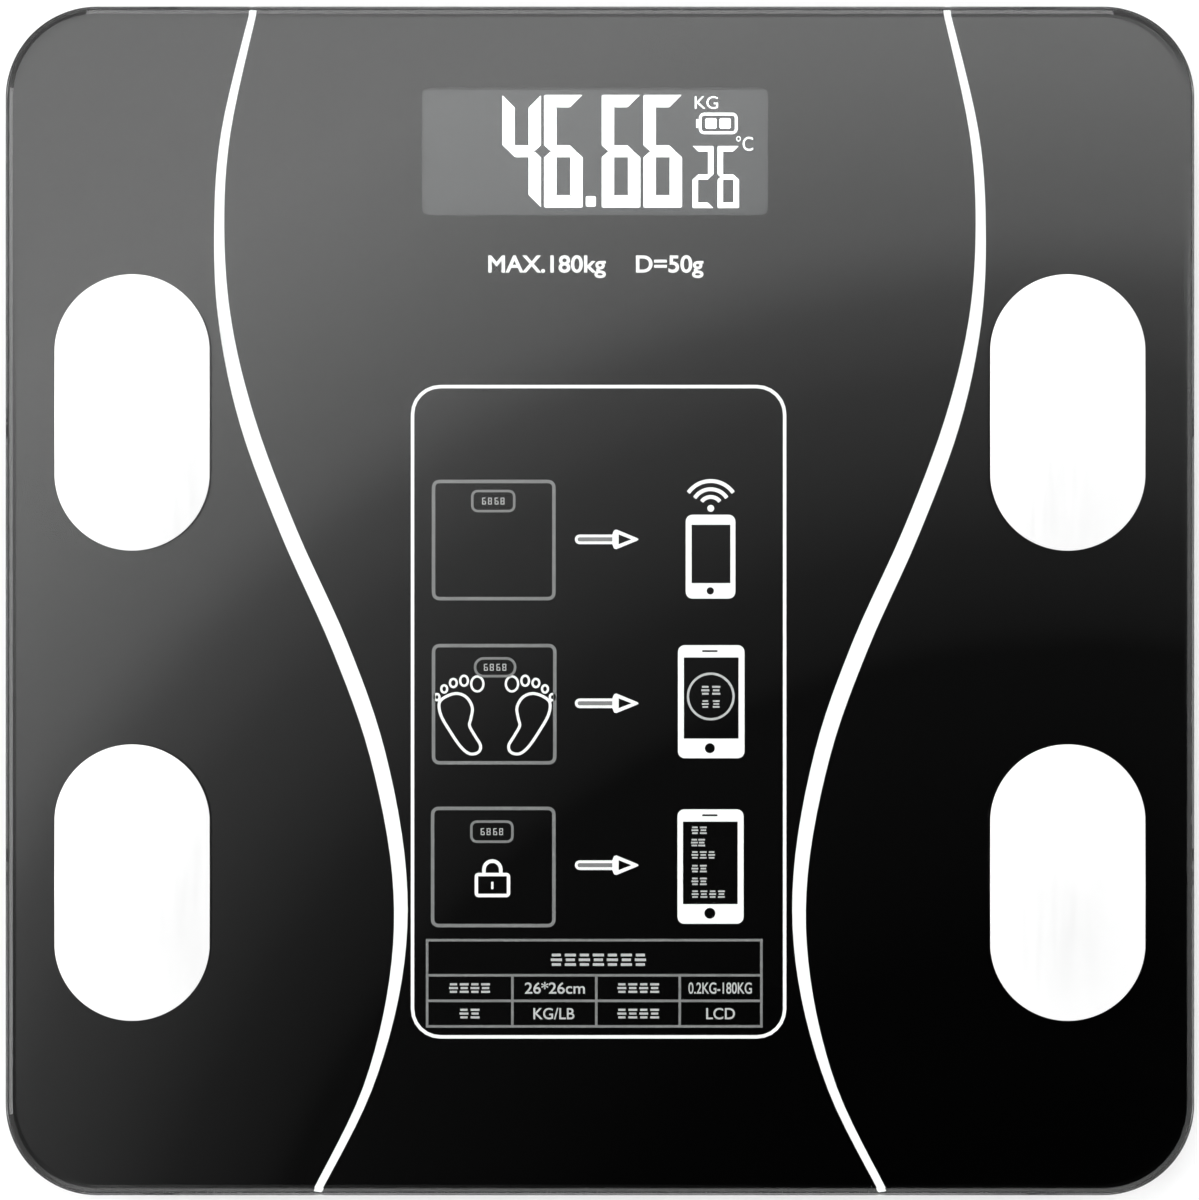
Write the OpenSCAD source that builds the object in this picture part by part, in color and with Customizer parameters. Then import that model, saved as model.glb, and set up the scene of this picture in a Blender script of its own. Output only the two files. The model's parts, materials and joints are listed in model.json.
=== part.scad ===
// Square glass bathroom scale with four load-cell feet, body-composition electrodes and a digital display.
// Origin: middle of the platform in plan, on the surface the scale stands on. +Z is up.
// +Y points from the heels towards the toes and the display.

/* [Platform] */
// Side of the square glass platform
platform_side = 260; // [255:1:265]
// Radius of the platform's corners in plan
platform_corner = 20; // [16:1:24]
// Thickness of the tempered glass
glass_thickness = 5; // [4:0.5:6]
// Height of the underside of the glass above the floor
glass_base_z = 19; // [19:0.5:21]
// Width of the flat outer band of the polished edge
edge_band = 0.8; // [0.6:0.1:1.4]
// Width of the shallow facet between that band and the face
edge_facet = 0.8; // [0.4:0.1:1]
// Thickness of the printed film on the back of the glass
film_thickness = 0.2; // [0.1:0.05:0.3]
// Distance from the glass edge to the film's edge
film_inset = 0.5; // [0.3:0.1:3]

/* [Display window] */
// Width of the clear window
window_w = 75.9; // [60:0.1:80]
// Height of the clear window in plan
window_l = 28; // [22:0.1:30]
// Corner radius of the window
window_corner = 1.7; // [0.5:0.1:4]
// Window centre, across the platform
window_x = -1.1; // [-3:0.1:3]
// Window centre, towards the toes
window_y = 98.6; // [97:0.1:99]

/* [Electrodes] */
// Width of one stadium-shaped electrode
electrode_w = 34; // [28:0.5:38]
// Length of one electrode
electrode_l = 60.5; // [50:0.5:64]
// Thickness of the electrode sheet
electrode_t = 0.3; // [0.2:0.05:0.5]
// Distance of the electrode centres from the middle line
electrode_x = 102.3; // [98:0.1:104]
// Toe electrodes' centre, towards the toes
toe_electrode_y = 41.2; // [36:0.1:44]
// Heel electrodes' centre, behind the middle
heel_electrode_y = -61.6; // [-64:0.1:-56]
// Radius of the stud welded under each electrode
stud_r = 1.5; // [1.25:0.05:1.6]

/* [Base tray] */
// Side of the tray at its rim
tray_side = 252; // [250:1:254]
// Corner radius of the tray at its rim
tray_corner = 16; // [14:1:18]
// Height of the tray's underside above the floor
tray_base_z = 4; // [4:0.1:4]
// Wall thickness of the tray
tray_wall = 2; // [2:0.1:2]
// Radius of the rounded bottom edge of the tray
tray_edge_r = 9; // [8:0.5:10]
// Width of the flat rim that carries the gasket
rim_w = 7; // [5:0.5:7]
// Thickness of the foam gasket and of the adhesive pads
foam_t = 0.7; // [0.5:0.1:0.8]
// Height of the stiffening ribs on the tray floor
rib_h = 3; // [2:0.5:4]
// Thickness of the stiffening ribs
rib_t = 1.4; // [1:0.1:2]

/* [Feet] */
// Distance of each foot's centre from the two middle lines
foot_pos = 93; // [92:0.5:93]
// Outer radius of the foot cup
foot_r = 20; // [19:0.5:20]
// Radius of the rubber pad
pad_r = 18; // [16:0.5:18]
// Thickness of the rubber pad
pad_t = 1.6; // [1.4:0.1:2]
// Radial gap between foot cup and tray
foot_gap = 0.4; // [0.3:0.1:0.5]
// Depth of the pad's seat in the foot cup
pad_seat = 0.4; // [0.2:0.1:0.6]
// Reach of the retaining tabs beyond the cup
tab_reach = 2.5; // [2:0.1:2.5]

/* [Load cells] */
// Side of the square load cell
cell_side = 34; // [32:0.5:34]
// Thickness of the load cell's steel
cell_t = 2; // [1.5:0.1:2]
// Height of the load cell's underside
cell_z = 9; // [9:0.1:9]
// Width of the load cell's outer frame beside the slot
cell_frame = 5.5; // [5:0.25:6]
// Width of the slot round the tongue
cell_slot = 2; // [1.5:0.25:2.5]

/* [Battery compartment] */
// Radius of one battery
battery_r = 5.25; // [5:0.05:5.25]
// Length of one battery with its button
battery_l = 44.5; // [43.5:0.1:44.5]
// Centre of the compartment, towards the toes
battery_y = 40; // [36:1:41]
// Distance between the two battery axes
battery_pitch = 11.2; // [11:0.1:11.2]
// Room for a spring at a battery's flat end
spring_room = 3.5; // [3:0.1:4]
// Thickness of the battery door
door_t = 1.8; // [1.6:0.1:1.8]
// Gap round the battery door
door_gap = 0.3; // [0.2:0.05:0.4]

/* [Unit button] */
// Button centre, across the platform
button_x = 34; // [30:1:36]
// Button centre, towards the toes
button_y = 76.5; // [76:0.5:77]
// Width of the button
button_w = 12; // [10:0.5:12]
// Length of the button
button_l = 6; // [5:0.5:6]
// Travel of the button
button_travel = 0.4; // [0.3:0.05:0.4]

/* [Circuit board] */
// Width of the board
board_w = 104; // [100:1:106]
// Length of the board
board_l = 48.5; // [47:0.5:49]
// Board centre, across the platform
board_x = -1; // [-2:0.5:0]
// Board centre, towards the toes
board_y = 94.25; // [94:0.25:94.5]
// Height of the board's underside
board_z = 10; // [10:0.1:10]
// Thickness of the board
board_t = 1.6; // [1.2:0.1:1.6]

/* [Hidden] */

$fn = 64;
eps = 0.01;

// Quarter turns that carry the toe-right corner onto each corner
TOE_RIGHT = 0;
TOE_LEFT = 1;
HEEL_LEFT = 2;
HEEL_RIGHT = 3;
CORNERS = [TOE_RIGHT, TOE_LEFT, HEEL_LEFT, HEEL_RIGHT];

// Colours
glass_colour = [0.08, 0.09, 0.09, 0.45];
ink_colour = [0.05, 0.05, 0.06];
steel_colour = [0.86, 0.86, 0.88];
abs_colour = [0.13, 0.13, 0.14];
foam_colour = [0.95, 0.95, 0.93];
board_colour = [0.05, 0.3, 0.15];
cell_colour = [0.25, 0.27, 0.28];
guide_colour = [0.97, 0.98, 1];
gold_colour = [0.85, 0.7, 0.35];
wire_colours = ["firebrick", "gainsboro", "dimgray"];

// Platform heights
glass_top_z = glass_base_z + glass_thickness;
film_z = glass_base_z - film_thickness - 0.1;
stud_hole_r = stud_r + 0.3;
edge_arris = 0.25;
facet_drop = 0.25;
base_chamfer = 0.5;

// Tray heights and inner places
tray_floor_z = tray_base_z + tray_wall;
foam_z = film_z - foam_t;
rim_t = 2;
tray_inner_side = tray_side - 2 * rim_w;
tray_middle = tray_side - 2 * tray_corner;
tray_flat = tray_corner - tray_edge_r;

// Label recess and air vents in the tray's underside
label_w = 90;
label_l = 44;
label_y = -36;
label_depth = 0.3;
label_corner = 2;
vent_count = 4;
vent_pitch = 4;
vent_w = 1.4;
vent_l = 8;
vent_x = -46;
vent_y = 64;

// Foot stack
foot_hole_r = foot_r + foot_gap;
cup_z = pad_t - pad_seat;
cup_floor_t = 2;
cup_wall = 2;
tab_lift = 0.2;
tab_t = 1.4;
tab_w = 6;
post_r = 4;
cup_rib_t = 1.6;
cup_rib_top = 6;
pad_groove_w = 1.2;
pad_groove_depth = 0.5;

// Load-cell seats and brackets, in each foot's own place
cell_top_z = cell_z + cell_t;
cell_round = 2.5;
seat_in = 14.5;
seat_out = 18.5;
seat_gap = 0.15;
ring_t = 1.6;
ring_side = 25;
bracket_side = 38;
bracket_t = 2;
bracket_z = cell_top_z + ring_t;
bracket_top_z = bracket_z + bracket_t;
lead_notch_w = 8;
pillar_r = 13;
pillar_wall = 3;
bracket_hole_r = 6;
ear_reach = 19;
ear_w = 8;
bracket_boss_r = 3.5;
bracket_screw_l = 6.4;
bracket_pilot_depth = 5.4;
coating_l = 6;
coating_w = 9;
coating_t = 0.8;
neck_y = -7;

// Screws
screw_r = 1.1;
screw_head_r = 2.5;
screw_head_t = 1.6;
screw_clear_r = 1.4;
pilot_r = 1.2;
screw_edge = 0.5;
screw_edge_in = 0.6;
drive_w = 0.6;
drive_l = 2.8;
drive_depth = 0.8;

// Board and display stack
board_top_z = board_z + board_t;
board_corner = 1.5;
board_screw_x = 48;
board_screw_y = [74, 114.5];
board_boss_r = 3.2;
board_screw_l = 4.4;
board_pilot_depth = 3.2;
frame_w = 84;
frame_l = 36;
frame_wall = 1.5;
frame_corner = 1.2;
frame_inner_corner = 0.5;
frame_gap = 0.2;
lcd_inner_w = frame_w - 2 * frame_wall;
lcd_inner_l = frame_l - 2 * frame_wall;
lcd_top_z = foam_z + 0.4;
lcd_plate_t = 0.9;
lcd_ledge = 2.8;
lcd_corner = 0.4;
guide_corner = 0.6;
strip_gap = 0.8;
shelf_z = board_top_z + 0.6;
shelf_t = 0.8;
shelf_w = 5;
light_z = shelf_z + shelf_t;
strip_w = 2.2;
strip_l = 72;
peg_r = 1;
peg_inset = 1.2;
peg_hole_r = 1.2;
peg_depth = 2.2;
pad_rows = 6;
pad_pitch = 4.5;

// Battery compartment places
button_room = 1.2;
pocket_half = (battery_l + spring_room + button_room) / 2;
box_wall = 1.6;
frame_pad_t = 3.4;
pad_side = 4;
pad_front = 3;
pad_back = 2;
scoop_w = 13;
scoop_l = 19;
scoop_depth = 1.2;
box_inner_top = 17;
box_top_t = 1.1;
door_y0 = battery_y - 11.5;
door_y1 = battery_y + 13.3;
door_half = 26;
latch_room = 0.3;
recess_top = tray_base_z + door_t + 0.1;
pocket_y0 = battery_y - 14.4;
pocket_y1 = battery_y + 12.2;
battery_z = tray_floor_z + 0.2 + battery_r;
contact_t = 0.4;
contact_w = 8.6;
contact_h = 8;
tail_w = 2;
tail_l = 3;
tail_lift = 1.8;
tail_gap = 0.3;
tail_base_z = battery_z + tail_lift;
door_tab_w = 7;
door_tab_x = 15;
door_tab_reach = 2.5;
door_tab_t = 1.2;

// Unit button and switch
flange_margin = 1.5;
button_recess = 0.2;
flange_z = tray_floor_z + 0.2;
flange_top = 7.1;
switch_side = 6;
switch_z = 7.8;
plunger_r = 1.6;
plunger_top = 8.6;
plunger_gap = 0.2;
well_top_z = plunger_top + button_travel + plunger_gap;
guide_wall = 1.5;
guide_h = 1.4;
button_gap = 0.3;
button_hole_w = button_w + 2 * button_gap;
button_hole_l = button_l + 2 * button_gap;
button_hole_corner = 1.3;

// Wires
lead_r = 0.5;
lead_sides = 8;
lead_steps = 4;
lead_pitch = 1.3;

// ---------- plane shapes ----------

module rounded_rect(w, l, r) {
    square([w - 2 * r, l], center = true);
    square([w, l - 2 * r], center = true);
    for (sx = [-1, 1], sy = [-1, 1])
        translate([sx * (w / 2 - r), sy * (l / 2 - r)])
            circle(r);
}

module rounded_slab(w, l, h, r) {
    linear_extrude(h)
        rounded_rect(w, l, r);
}

module stadium(w, l) {
    square([w, l - w], center = true);
    for (side = [-1, 1])
        translate([0, side * (l - w) / 2])
            circle(w / 2);
}

// ---------- arrangements ----------

// Carries a child from the toe-right foot's own place to the named corner
module at_corner(turn) {
    rotate([0, 0, 90 * turn])
        translate([foot_pos, foot_pos, 0])
            children();
}

// Puts a child at every electrode centre, mirrored so that its +X side faces outwards
module at_electrodes() {
    for (side = [0, 1], y = [toe_electrode_y, heel_electrode_y])
        mirror([side, 0, 0])
            translate([electrode_x, y, 0])
                children();
}

// The two screw places of a bracket, on the diagonal across its corner
module at_ears() {
    for (side = [-1, 1])
        translate([side * ear_reach, -side * ear_reach, 0])
            children();
}

// The corner pegs of the display holder
module at_frame_pegs() {
    for (sx = [-1, 1], sy = [-1, 1])
        translate([window_x + sx * (frame_w / 2 - peg_inset), window_y + sy * (frame_l / 2 - peg_inset)])
            children();
}

module at_board_screws() {
    for (side = [-1, 1], y = board_screw_y)
        translate([board_x + side * board_screw_x, y, 0])
            children();
}

// Sweeps a section, drawn outwards from the corner's centre, round a rounded square
module swept_rim(side, r) {
    run = side - 2 * r;
    for (turn = CORNERS)
        rotate([0, 0, 90 * turn]) {
            translate([run / 2, run / 2, 0])
                rotate_extrude(angle = 90)
                    children();
            translate([run / 2, run / 2, 0])
                rotate([90, 0, 0])
                    linear_extrude(run)
                        children();
        }
}

// ---------- wires ----------

function spline(a, b, c, d, t) =
    0.5 * (2 * b + (c - a) * t + (2 * a - 5 * b + 4 * c - d) * t * t + (3 * b - a - 3 * c + d) * t * t * t);

function smooth(route) = [
    for (i = [0 : len(route) - 2], s = [0 : lead_steps - 1])
        let (before = route[max(i - 1, 0)], after = route[min(i + 2, len(route) - 1)])
        spline(before, route[i], route[i + 1], after, s / lead_steps),
    route[len(route) - 1]
];

function unit(v) = v / norm(v);

function heading(path, i) = unit(path[min(i + 1, len(path) - 1)] - path[max(i - 1, 0)]);

// Ring of points round one place of a path, squared up to a fixed reference direction
function ring(path, i, r, up) =
    let (along = heading(path, i), across = unit(cross(along, up)), over = cross(across, along))
    [for (k = [0 : lead_sides - 1])
        path[i] + r * (cos(360 * k / lead_sides) * across + sin(360 * k / lead_sides) * over)];

module tube(path, r, up = [0, 0, 1]) {
    last = len(path) - 1;
    points = [for (i = [0 : last]) each ring(path, i, r, up)];
    walls = [
        for (i = [0 : last - 1], k = [0 : lead_sides - 1])
            let (a = i * lead_sides + k, b = i * lead_sides + (k + 1) % lead_sides)
            [a, b, b + lead_sides, a + lead_sides]
    ];
    first_cap = [for (k = [lead_sides - 1 : -1 : 0]) k];
    last_cap = [for (k = [0 : lead_sides - 1]) last * lead_sides + k];
    polyhedron(points, concat([first_cap], walls, [last_cap]), convexity = 6);
}

module lead(route) {
    tube(smooth(route), lead_r);
}

// Three leads that run side by side, each shifted square to the route
module lead_trio(route) {
    path = smooth(route);
    up = [0, 0, 1];
    for (i = [0 : 2])
        color(wire_colours[i])
            tube([
                for (k = [0 : len(path) - 1])
                    path[k] + (i - 1) * lead_pitch * unit(cross(heading(path, k), up))
            ], lead_r);
}

// ---------- fasteners ----------

// Pan-head screw, its head's underside at z = 0
module pan_screw(length) {
    difference() {
        union() {
            cylinder(r = screw_head_r, h = screw_head_t - screw_edge);
            translate([0, 0, screw_head_t - screw_edge])
                cylinder(r1 = screw_head_r, r2 = screw_head_r - screw_edge_in, h = screw_edge);
            translate([0, 0, -length])
                cylinder(r = screw_r, h = length);
        }
        for (turn = [0, 90])
            rotate([0, 0, turn])
                translate([-drive_l / 2, -drive_w / 2, screw_head_t - drive_depth])
                    cube([drive_l, drive_w, drive_depth + eps]);
    }
}

// ---------- platform ----------

module glass_section() {
    r = platform_corner;
    polygon([
        [0, glass_base_z],
        [r - base_chamfer, glass_base_z],
        [r, glass_base_z + base_chamfer],
        [r, glass_top_z - facet_drop - edge_arris],
        [r - edge_arris, glass_top_z - facet_drop],
        [r - edge_band, glass_top_z - facet_drop],
        [r - edge_band - edge_facet, glass_top_z],
        [0, glass_top_z]
    ]);
}

module glass_platform() {
    middle = platform_side - 2 * platform_corner;
    color(glass_colour)
        difference() {
            union() {
                swept_rim(platform_side, platform_corner)
                    glass_section();
                translate([-middle / 2, -middle / 2, glass_base_z])
                    cube([middle, middle, glass_thickness]);
            }
            at_electrodes()
                translate([0, 0, glass_base_z - eps])
                    cylinder(r = stud_hole_r, h = glass_thickness + 2 * eps);
        }
}

module printed_film() {
    side = platform_side - 2 * film_inset;
    color(ink_colour)
        translate([0, 0, film_z])
            linear_extrude(film_thickness)
                difference() {
                    rounded_rect(side, side, platform_corner - film_inset);
                    translate([window_x, window_y])
                        rounded_rect(window_w, window_l, window_corner);
                    at_electrodes()
                        circle(stud_hole_r);
                }
}

// ---------- electrodes ----------

stud_end_z = 15.8;
thread_gap = 0.05;
terminal_gap = 0.1;
terminal_t = 0.4;
terminal_z = film_z - terminal_t;
nut_t = 1.8;
nut_across = 5.5;

module electrode(side, y) {
    color(steel_colour)
        translate([side * electrode_x, y, 0]) {
            translate([0, 0, glass_top_z])
                linear_extrude(electrode_t)
                    stadium(electrode_w, electrode_l);
            translate([0, 0, stud_end_z])
                cylinder(r = stud_r, h = glass_top_z + electrode_t / 2 - stud_end_z);
        }
}

module electrode_toe_left() electrode(-1, toe_electrode_y);
module electrode_toe_right() electrode(1, toe_electrode_y);
module electrode_heel_left() electrode(-1, heel_electrode_y);
module electrode_heel_right() electrode(1, heel_electrode_y);

module electrode_nuts() {
    color("gainsboro")
        at_electrodes()
            translate([0, 0, terminal_z - nut_t])
                difference() {
                    cylinder(d = nut_across / cos(30), h = nut_t, $fn = 6);
                    translate([0, 0, -eps])
                        cylinder(r = stud_r + thread_gap, h = nut_t + 2 * eps);
                }
}

terminal_r = 3.4;
terminal_l = 8;
barrel_r = 1.1;
barrel_bore_r = 0.6;
barrel_l = 4;
barrel_floor = 1;

module electrode_terminals() {
    color(gold_colour)
        at_electrodes() {
            translate([0, 0, terminal_z])
                linear_extrude(terminal_t)
                    difference() {
                        union() {
                            circle(terminal_r);
                            translate([-terminal_l, -barrel_r])
                                square([terminal_l, 2 * barrel_r]);
                        }
                        circle(stud_r + terminal_gap);
                    }
            translate([-terminal_l, 0, terminal_z - barrel_r + terminal_t / 2])
                rotate([0, -90, 0])
                    difference() {
                        cylinder(r = barrel_r, h = barrel_l);
                        translate([0, 0, barrel_floor])
                            cylinder(r = barrel_bore_r, h = barrel_l);
                    }
        }
}

barrel_mouth_x = electrode_x - terminal_l - barrel_l + 2;
barrel_z = terminal_z - barrel_r + terminal_t / 2;

// Routes of the electrode leads, from the barrel to the board's edge
function toe_electrode_route(side, end_x) = [
    [side * barrel_mouth_x, toe_electrode_y, barrel_z],
    [side * 86, 41.5, 17.2],
    [side * 78, 48, 17],
    [side * 66, 70, 16.2],
    [side * 60, 90, 15.4],
    [end_x + side * 4.5, 99, 13.2],
    [end_x, 99, board_top_z + lead_r]
];

function heel_electrode_route(side, end_x) = [
    [side * barrel_mouth_x, heel_electrode_y, barrel_z],
    [side * 84, -60, 17],
    [side * 74, -50, 16],
    [side * 66, -25, 14],
    [side * 63, 20, 13],
    [side * 63, 60, 12.6],
    [side * 62, 88, 12.6],
    [end_x + side * 6, 104, 12.8],
    [end_x, 105, board_top_z + lead_r]
];

land_inset = 2.5;
board_right_x = board_x + board_w / 2 - land_inset;
board_left_x = board_x - board_w / 2 + land_inset;

module electrode_leads() {
    color("goldenrod") {
        lead(toe_electrode_route(1, board_right_x));
        lead(toe_electrode_route(-1, board_left_x));
        lead(heel_electrode_route(1, board_right_x));
        lead(heel_electrode_route(-1, board_left_x));
    }
}

// ---------- bonding ----------

gasket_inset = 1;
gasket_inner_gap = 0.3;

module foam_gasket() {
    outer = tray_side - 2 * gasket_inset;
    inner = tray_inner_side + 2 * gasket_inner_gap;
    color(foam_colour)
        translate([0, 0, foam_z])
            linear_extrude(foam_t)
                difference() {
                    rounded_rect(outer, outer, tray_corner - gasket_inset);
                    rounded_rect(inner, inner, tray_corner - rim_w);
                }
}

module adhesive_pads() {
    color(foam_colour)
        for (turn = CORNERS)
            at_corner(turn)
                translate([0, 0, foam_z])
                    cylinder(r = pillar_r, h = foam_t);
}

// ---------- display ----------

module lcd_glass() {
    w = lcd_inner_w - 2 * frame_gap;
    l = lcd_inner_l - 2 * frame_gap;
    color(cell_colour)
        translate([window_x, window_y, 0]) {
            translate([0, 0, lcd_top_z - 2 * lcd_plate_t])
                rounded_slab(w, l, lcd_plate_t, lcd_corner);
            translate([0, -lcd_ledge / 2, lcd_top_z - lcd_plate_t - eps])
                rounded_slab(w, l - lcd_ledge, lcd_plate_t + eps, lcd_corner);
        }
}

module lcd_backlight() {
    w = lcd_inner_w - 2 * frame_gap;
    l = lcd_inner_l - strip_w - 2 * strip_gap;
    top = lcd_top_z - 2 * lcd_plate_t;
    lamp_w = 5;
    lamp_t = 1;
    lamp_drop = 0.6;
    guide_shift = 0.6;
    color(guide_colour)
        translate([window_x, window_y, 0]) {
            translate([0, -strip_w / 2 - guide_shift, light_z])
                rounded_slab(w, l, top - light_z, guide_corner);
            for (side = [-1, 1])
                translate([side * w / 3 - lamp_w / 2, -lamp_w / 2, light_z - lamp_drop])
                    cube([lamp_w, lamp_w, lamp_t]);
        }
}

module lcd_frame() {
    h = lcd_top_z - board_top_z;
    shelf_hole_l = lcd_inner_l - strip_w - 2 * shelf_w;
    color("whitesmoke") {
        translate([window_x, window_y, 0]) {
            difference() {
                translate([0, 0, board_top_z])
                    rounded_slab(frame_w, frame_l, h, frame_corner);
                translate([0, 0, board_top_z - eps])
                    rounded_slab(lcd_inner_w, lcd_inner_l, h + 2 * eps, frame_inner_corner);
            }
            // shelf under the light guide
            difference() {
                translate([-lcd_inner_w / 2 - eps, -lcd_inner_l / 2 - eps, shelf_z])
                    cube([lcd_inner_w + 2 * eps, lcd_inner_l - strip_w - strip_gap, shelf_t]);
                translate([-lcd_inner_w / 2 + shelf_w, -lcd_inner_l / 2 + shelf_w, shelf_z - eps])
                    cube([lcd_inner_w - 2 * shelf_w, shelf_hole_l, shelf_t + 2 * eps]);
            }
        }
        at_frame_pegs()
            translate([0, 0, board_top_z - peg_depth])
                cylinder(r = peg_r, h = peg_depth + shelf_t);
    }
}

module contact_strip() {
    color("lightpink")
        translate([window_x - strip_l / 2, window_y + lcd_inner_l / 2 - frame_gap - strip_w, board_top_z])
            cube([strip_l, strip_w, lcd_top_z - 2 * lcd_plate_t - board_top_z]);
}

// ---------- board ----------

module main_board() {
    color(board_colour)
        translate([0, 0, board_z])
            linear_extrude(board_t)
                difference() {
                    translate([board_x, board_y])
                        rounded_rect(board_w, board_l, board_corner);
                    at_board_screws()
                        circle(screw_clear_r);
                    at_frame_pegs()
                        circle(peg_hole_r);
                }
}

chip_x = -22;
chip_y = 75.4;
chip_side = 7;
chip_leads = 8;
chip_lead_pitch = 0.8;
chip_lead_w = 0.3;
chip_lead_t = 0.4;
chip_lead_reach = 1;
chip_t = 1.2;
chip_lift = 0.15;

module controller_chip() {
    reach = chip_side + 2 * chip_lead_reach;
    translate([chip_x, chip_y, board_top_z]) {
        color("dimgray")
            translate([-chip_side / 2, -chip_side / 2, chip_lift])
                cube([chip_side, chip_side, chip_t]);
        color("silver")
            for (i = [0 : chip_leads - 1], turn = [0, 90])
                rotate([0, 0, turn])
                    translate([-reach / 2, (i - (chip_leads - 1) / 2) * chip_lead_pitch - chip_lead_w / 2, 0])
                        cube([reach, chip_lead_w, chip_lead_t]);
    }
}

module_x = 6;
module_y = 75.4;
module_w = 16;
module_l = 9;

module wireless_module() {
    can_w = 9.5;
    can_l = 7.6;
    can_h = 1.6;
    carrier_t = 0.8;
    can_inset = 0.8;
    translate([module_x, module_y, board_top_z]) {
        color("darkslateblue")
            translate([-module_w / 2, -module_l / 2, 0])
                cube([module_w, module_l, carrier_t]);
        color("silver")
            translate([-module_w / 2 + can_inset, -can_l / 2, carrier_t - eps])
                cube([can_w, can_l, can_h]);
    }
}

// Chip parts in a row, each a block with two end caps' width
module chip_row(x, y, count, pitch, size) {
    for (i = [0 : count - 1])
        translate([x + i * pitch - size[0] / 2, y - size[1] / 2, board_top_z])
            cube(size);
}

small_chip = [1.6, 0.8, 0.5];
tall_chip = [1.6, 0.8, 0.6];
large_chip = [2, 1.2, 0.8];
chip_row_1 = 73;
chip_row_2 = 77.5;
crystal_place = [-11, 77.2];
crystal_size = [5, 3.2, 1.3];
crystal_corner = 0.8;
bead_place = [-44.6, 77.6];
bead_r = 1.2;
bead_h = 2.2;
land_size = [2, 2.2, 0.1];
land_start_y = 80;

module board_components() {
    color("peru") {
        chip_row(-41, chip_row_1, 4, 3.4, small_chip);
        chip_row(-41, chip_row_2, 4, 3.4, tall_chip);
        chip_row(-13, chip_row_1, 3, 3, small_chip);
        chip_row(18, chip_row_1, 5, 3.2, small_chip);
        chip_row(18, chip_row_2, 3, 4, large_chip);
    }
    color("silver")
        translate([crystal_place[0], crystal_place[1], board_top_z])
            rounded_slab(crystal_size[0], crystal_size[1], crystal_size[2], crystal_corner);
    color("darkslategray")
        translate([bead_place[0], bead_place[1], board_top_z])
            cylinder(r = bead_r, h = bead_h);
    // solder lands for the leads
    color("silver")
        for (x = [board_left_x, board_right_x], i = [0 : pad_rows - 1])
            translate([x - land_size[0] / 2, land_start_y + i * pad_pitch, board_top_z])
                cube(land_size);
}

module tact_switch() {
    color("dimgray")
        translate([button_x, button_y, 0])
            difference() {
                translate([-switch_side / 2, -switch_side / 2, switch_z])
                    cube([switch_side, switch_side, board_z - switch_z]);
                translate([0, 0, switch_z - eps])
                    cylinder(r = plunger_r + plunger_gap, h = well_top_z - switch_z);
            }
}

module switch_plunger() {
    color("black")
        translate([button_x, button_y, flange_top])
            cylinder(r = plunger_r, h = plunger_top - flange_top);
}

module board_screws() {
    color("silver")
        at_board_screws()
            translate([0, 0, board_top_z])
                pan_screw(board_screw_l);
}

// ---------- base tray ----------

// Tray wall in section, outwards from the corner's centre: floor, rounded edge, wall and rim
module tray_section() {
    bend_z = tray_base_z + tray_edge_r;
    translate([0, tray_base_z])
        square([tray_flat, tray_wall]);
    intersection() {
        translate([tray_flat, bend_z])
            difference() {
                circle(tray_edge_r);
                circle(tray_edge_r - tray_wall);
            }
        translate([tray_flat, tray_base_z])
            square([tray_edge_r, tray_edge_r]);
    }
    translate([tray_corner - tray_wall, bend_z])
        square([tray_wall, foam_z - bend_z]);
    translate([tray_corner - rim_w, foam_z - rim_t])
        square([rim_w, rim_t]);
}

// L-shaped seats under a load cell's four corners, with a wall that locates it
module cell_seats() {
    wall_in = cell_side / 2 + seat_gap;
    for (sx = [0, 1], sy = [0, 1])
        mirror([sx, 0, 0])
            mirror([0, sy, 0])
                translate([0, 0, tray_floor_z - eps])
                    difference() {
                        translate([seat_in, seat_in, 0])
                            cube([seat_out - seat_in, seat_out - seat_in, cell_top_z - tray_floor_z]);
                        translate([0, 0, cell_z - tray_floor_z + eps])
                            cube([wall_in, wall_in, cell_t + eps]);
                    }
}

module foot_station() {
    cell_seats();
    at_ears()
        translate([0, 0, tray_floor_z - eps])
            cylinder(r = bracket_boss_r, h = bracket_z - tray_floor_z + eps);
}

// One rib on the tray floor, from its lower left corner
module rib(x, y, w, l) {
    translate([x, y, tray_floor_z - eps])
        cube([w, l, rib_h]);
}

middle_rib_x = 20;
middle_rib_y = -104;
middle_rib_l = 122;
cross_rib_half = 48;
cross_rib_pitch = 30;
side_rib_x = 86;
side_rib_y = -56;
side_rib_l = 108;
short_rib_x = 72;
short_rib_l = 42;
short_rib_pitch = 40;

module tray_ribs() {
    for (x = [-middle_rib_x, middle_rib_x])
        rib(x - rib_t / 2, middle_rib_y, rib_t, middle_rib_l);
    for (i = [0 : 3])
        rib(-cross_rib_half, -i * cross_rib_pitch - rib_t / 2, 2 * cross_rib_half, rib_t);
    for (x = [-side_rib_x, side_rib_x])
        rib(x - rib_t / 2, side_rib_y, rib_t, side_rib_l);
    for (i = [-1 : 1], side = [0, 1])
        mirror([side, 0, 0])
            rib(short_rib_x, i * short_rib_pitch - rib_t / 2, short_rib_l, rib_t);
}

module battery_box() {
    y_run = pocket_y1 - pocket_y0;
    box_h = box_inner_top + box_top_t - tray_floor_z;
    translate([-pocket_half - box_wall, pocket_y0 - box_wall, tray_floor_z - eps])
        cube([2 * (pocket_half + box_wall), y_run + 2 * box_wall, box_h]);
    translate([-door_half - pad_side, pocket_y0 - pad_front, tray_base_z])
        cube([2 * (door_half + pad_side), door_y1 + pad_back + pad_front - pocket_y0, frame_pad_t]);
}

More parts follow.
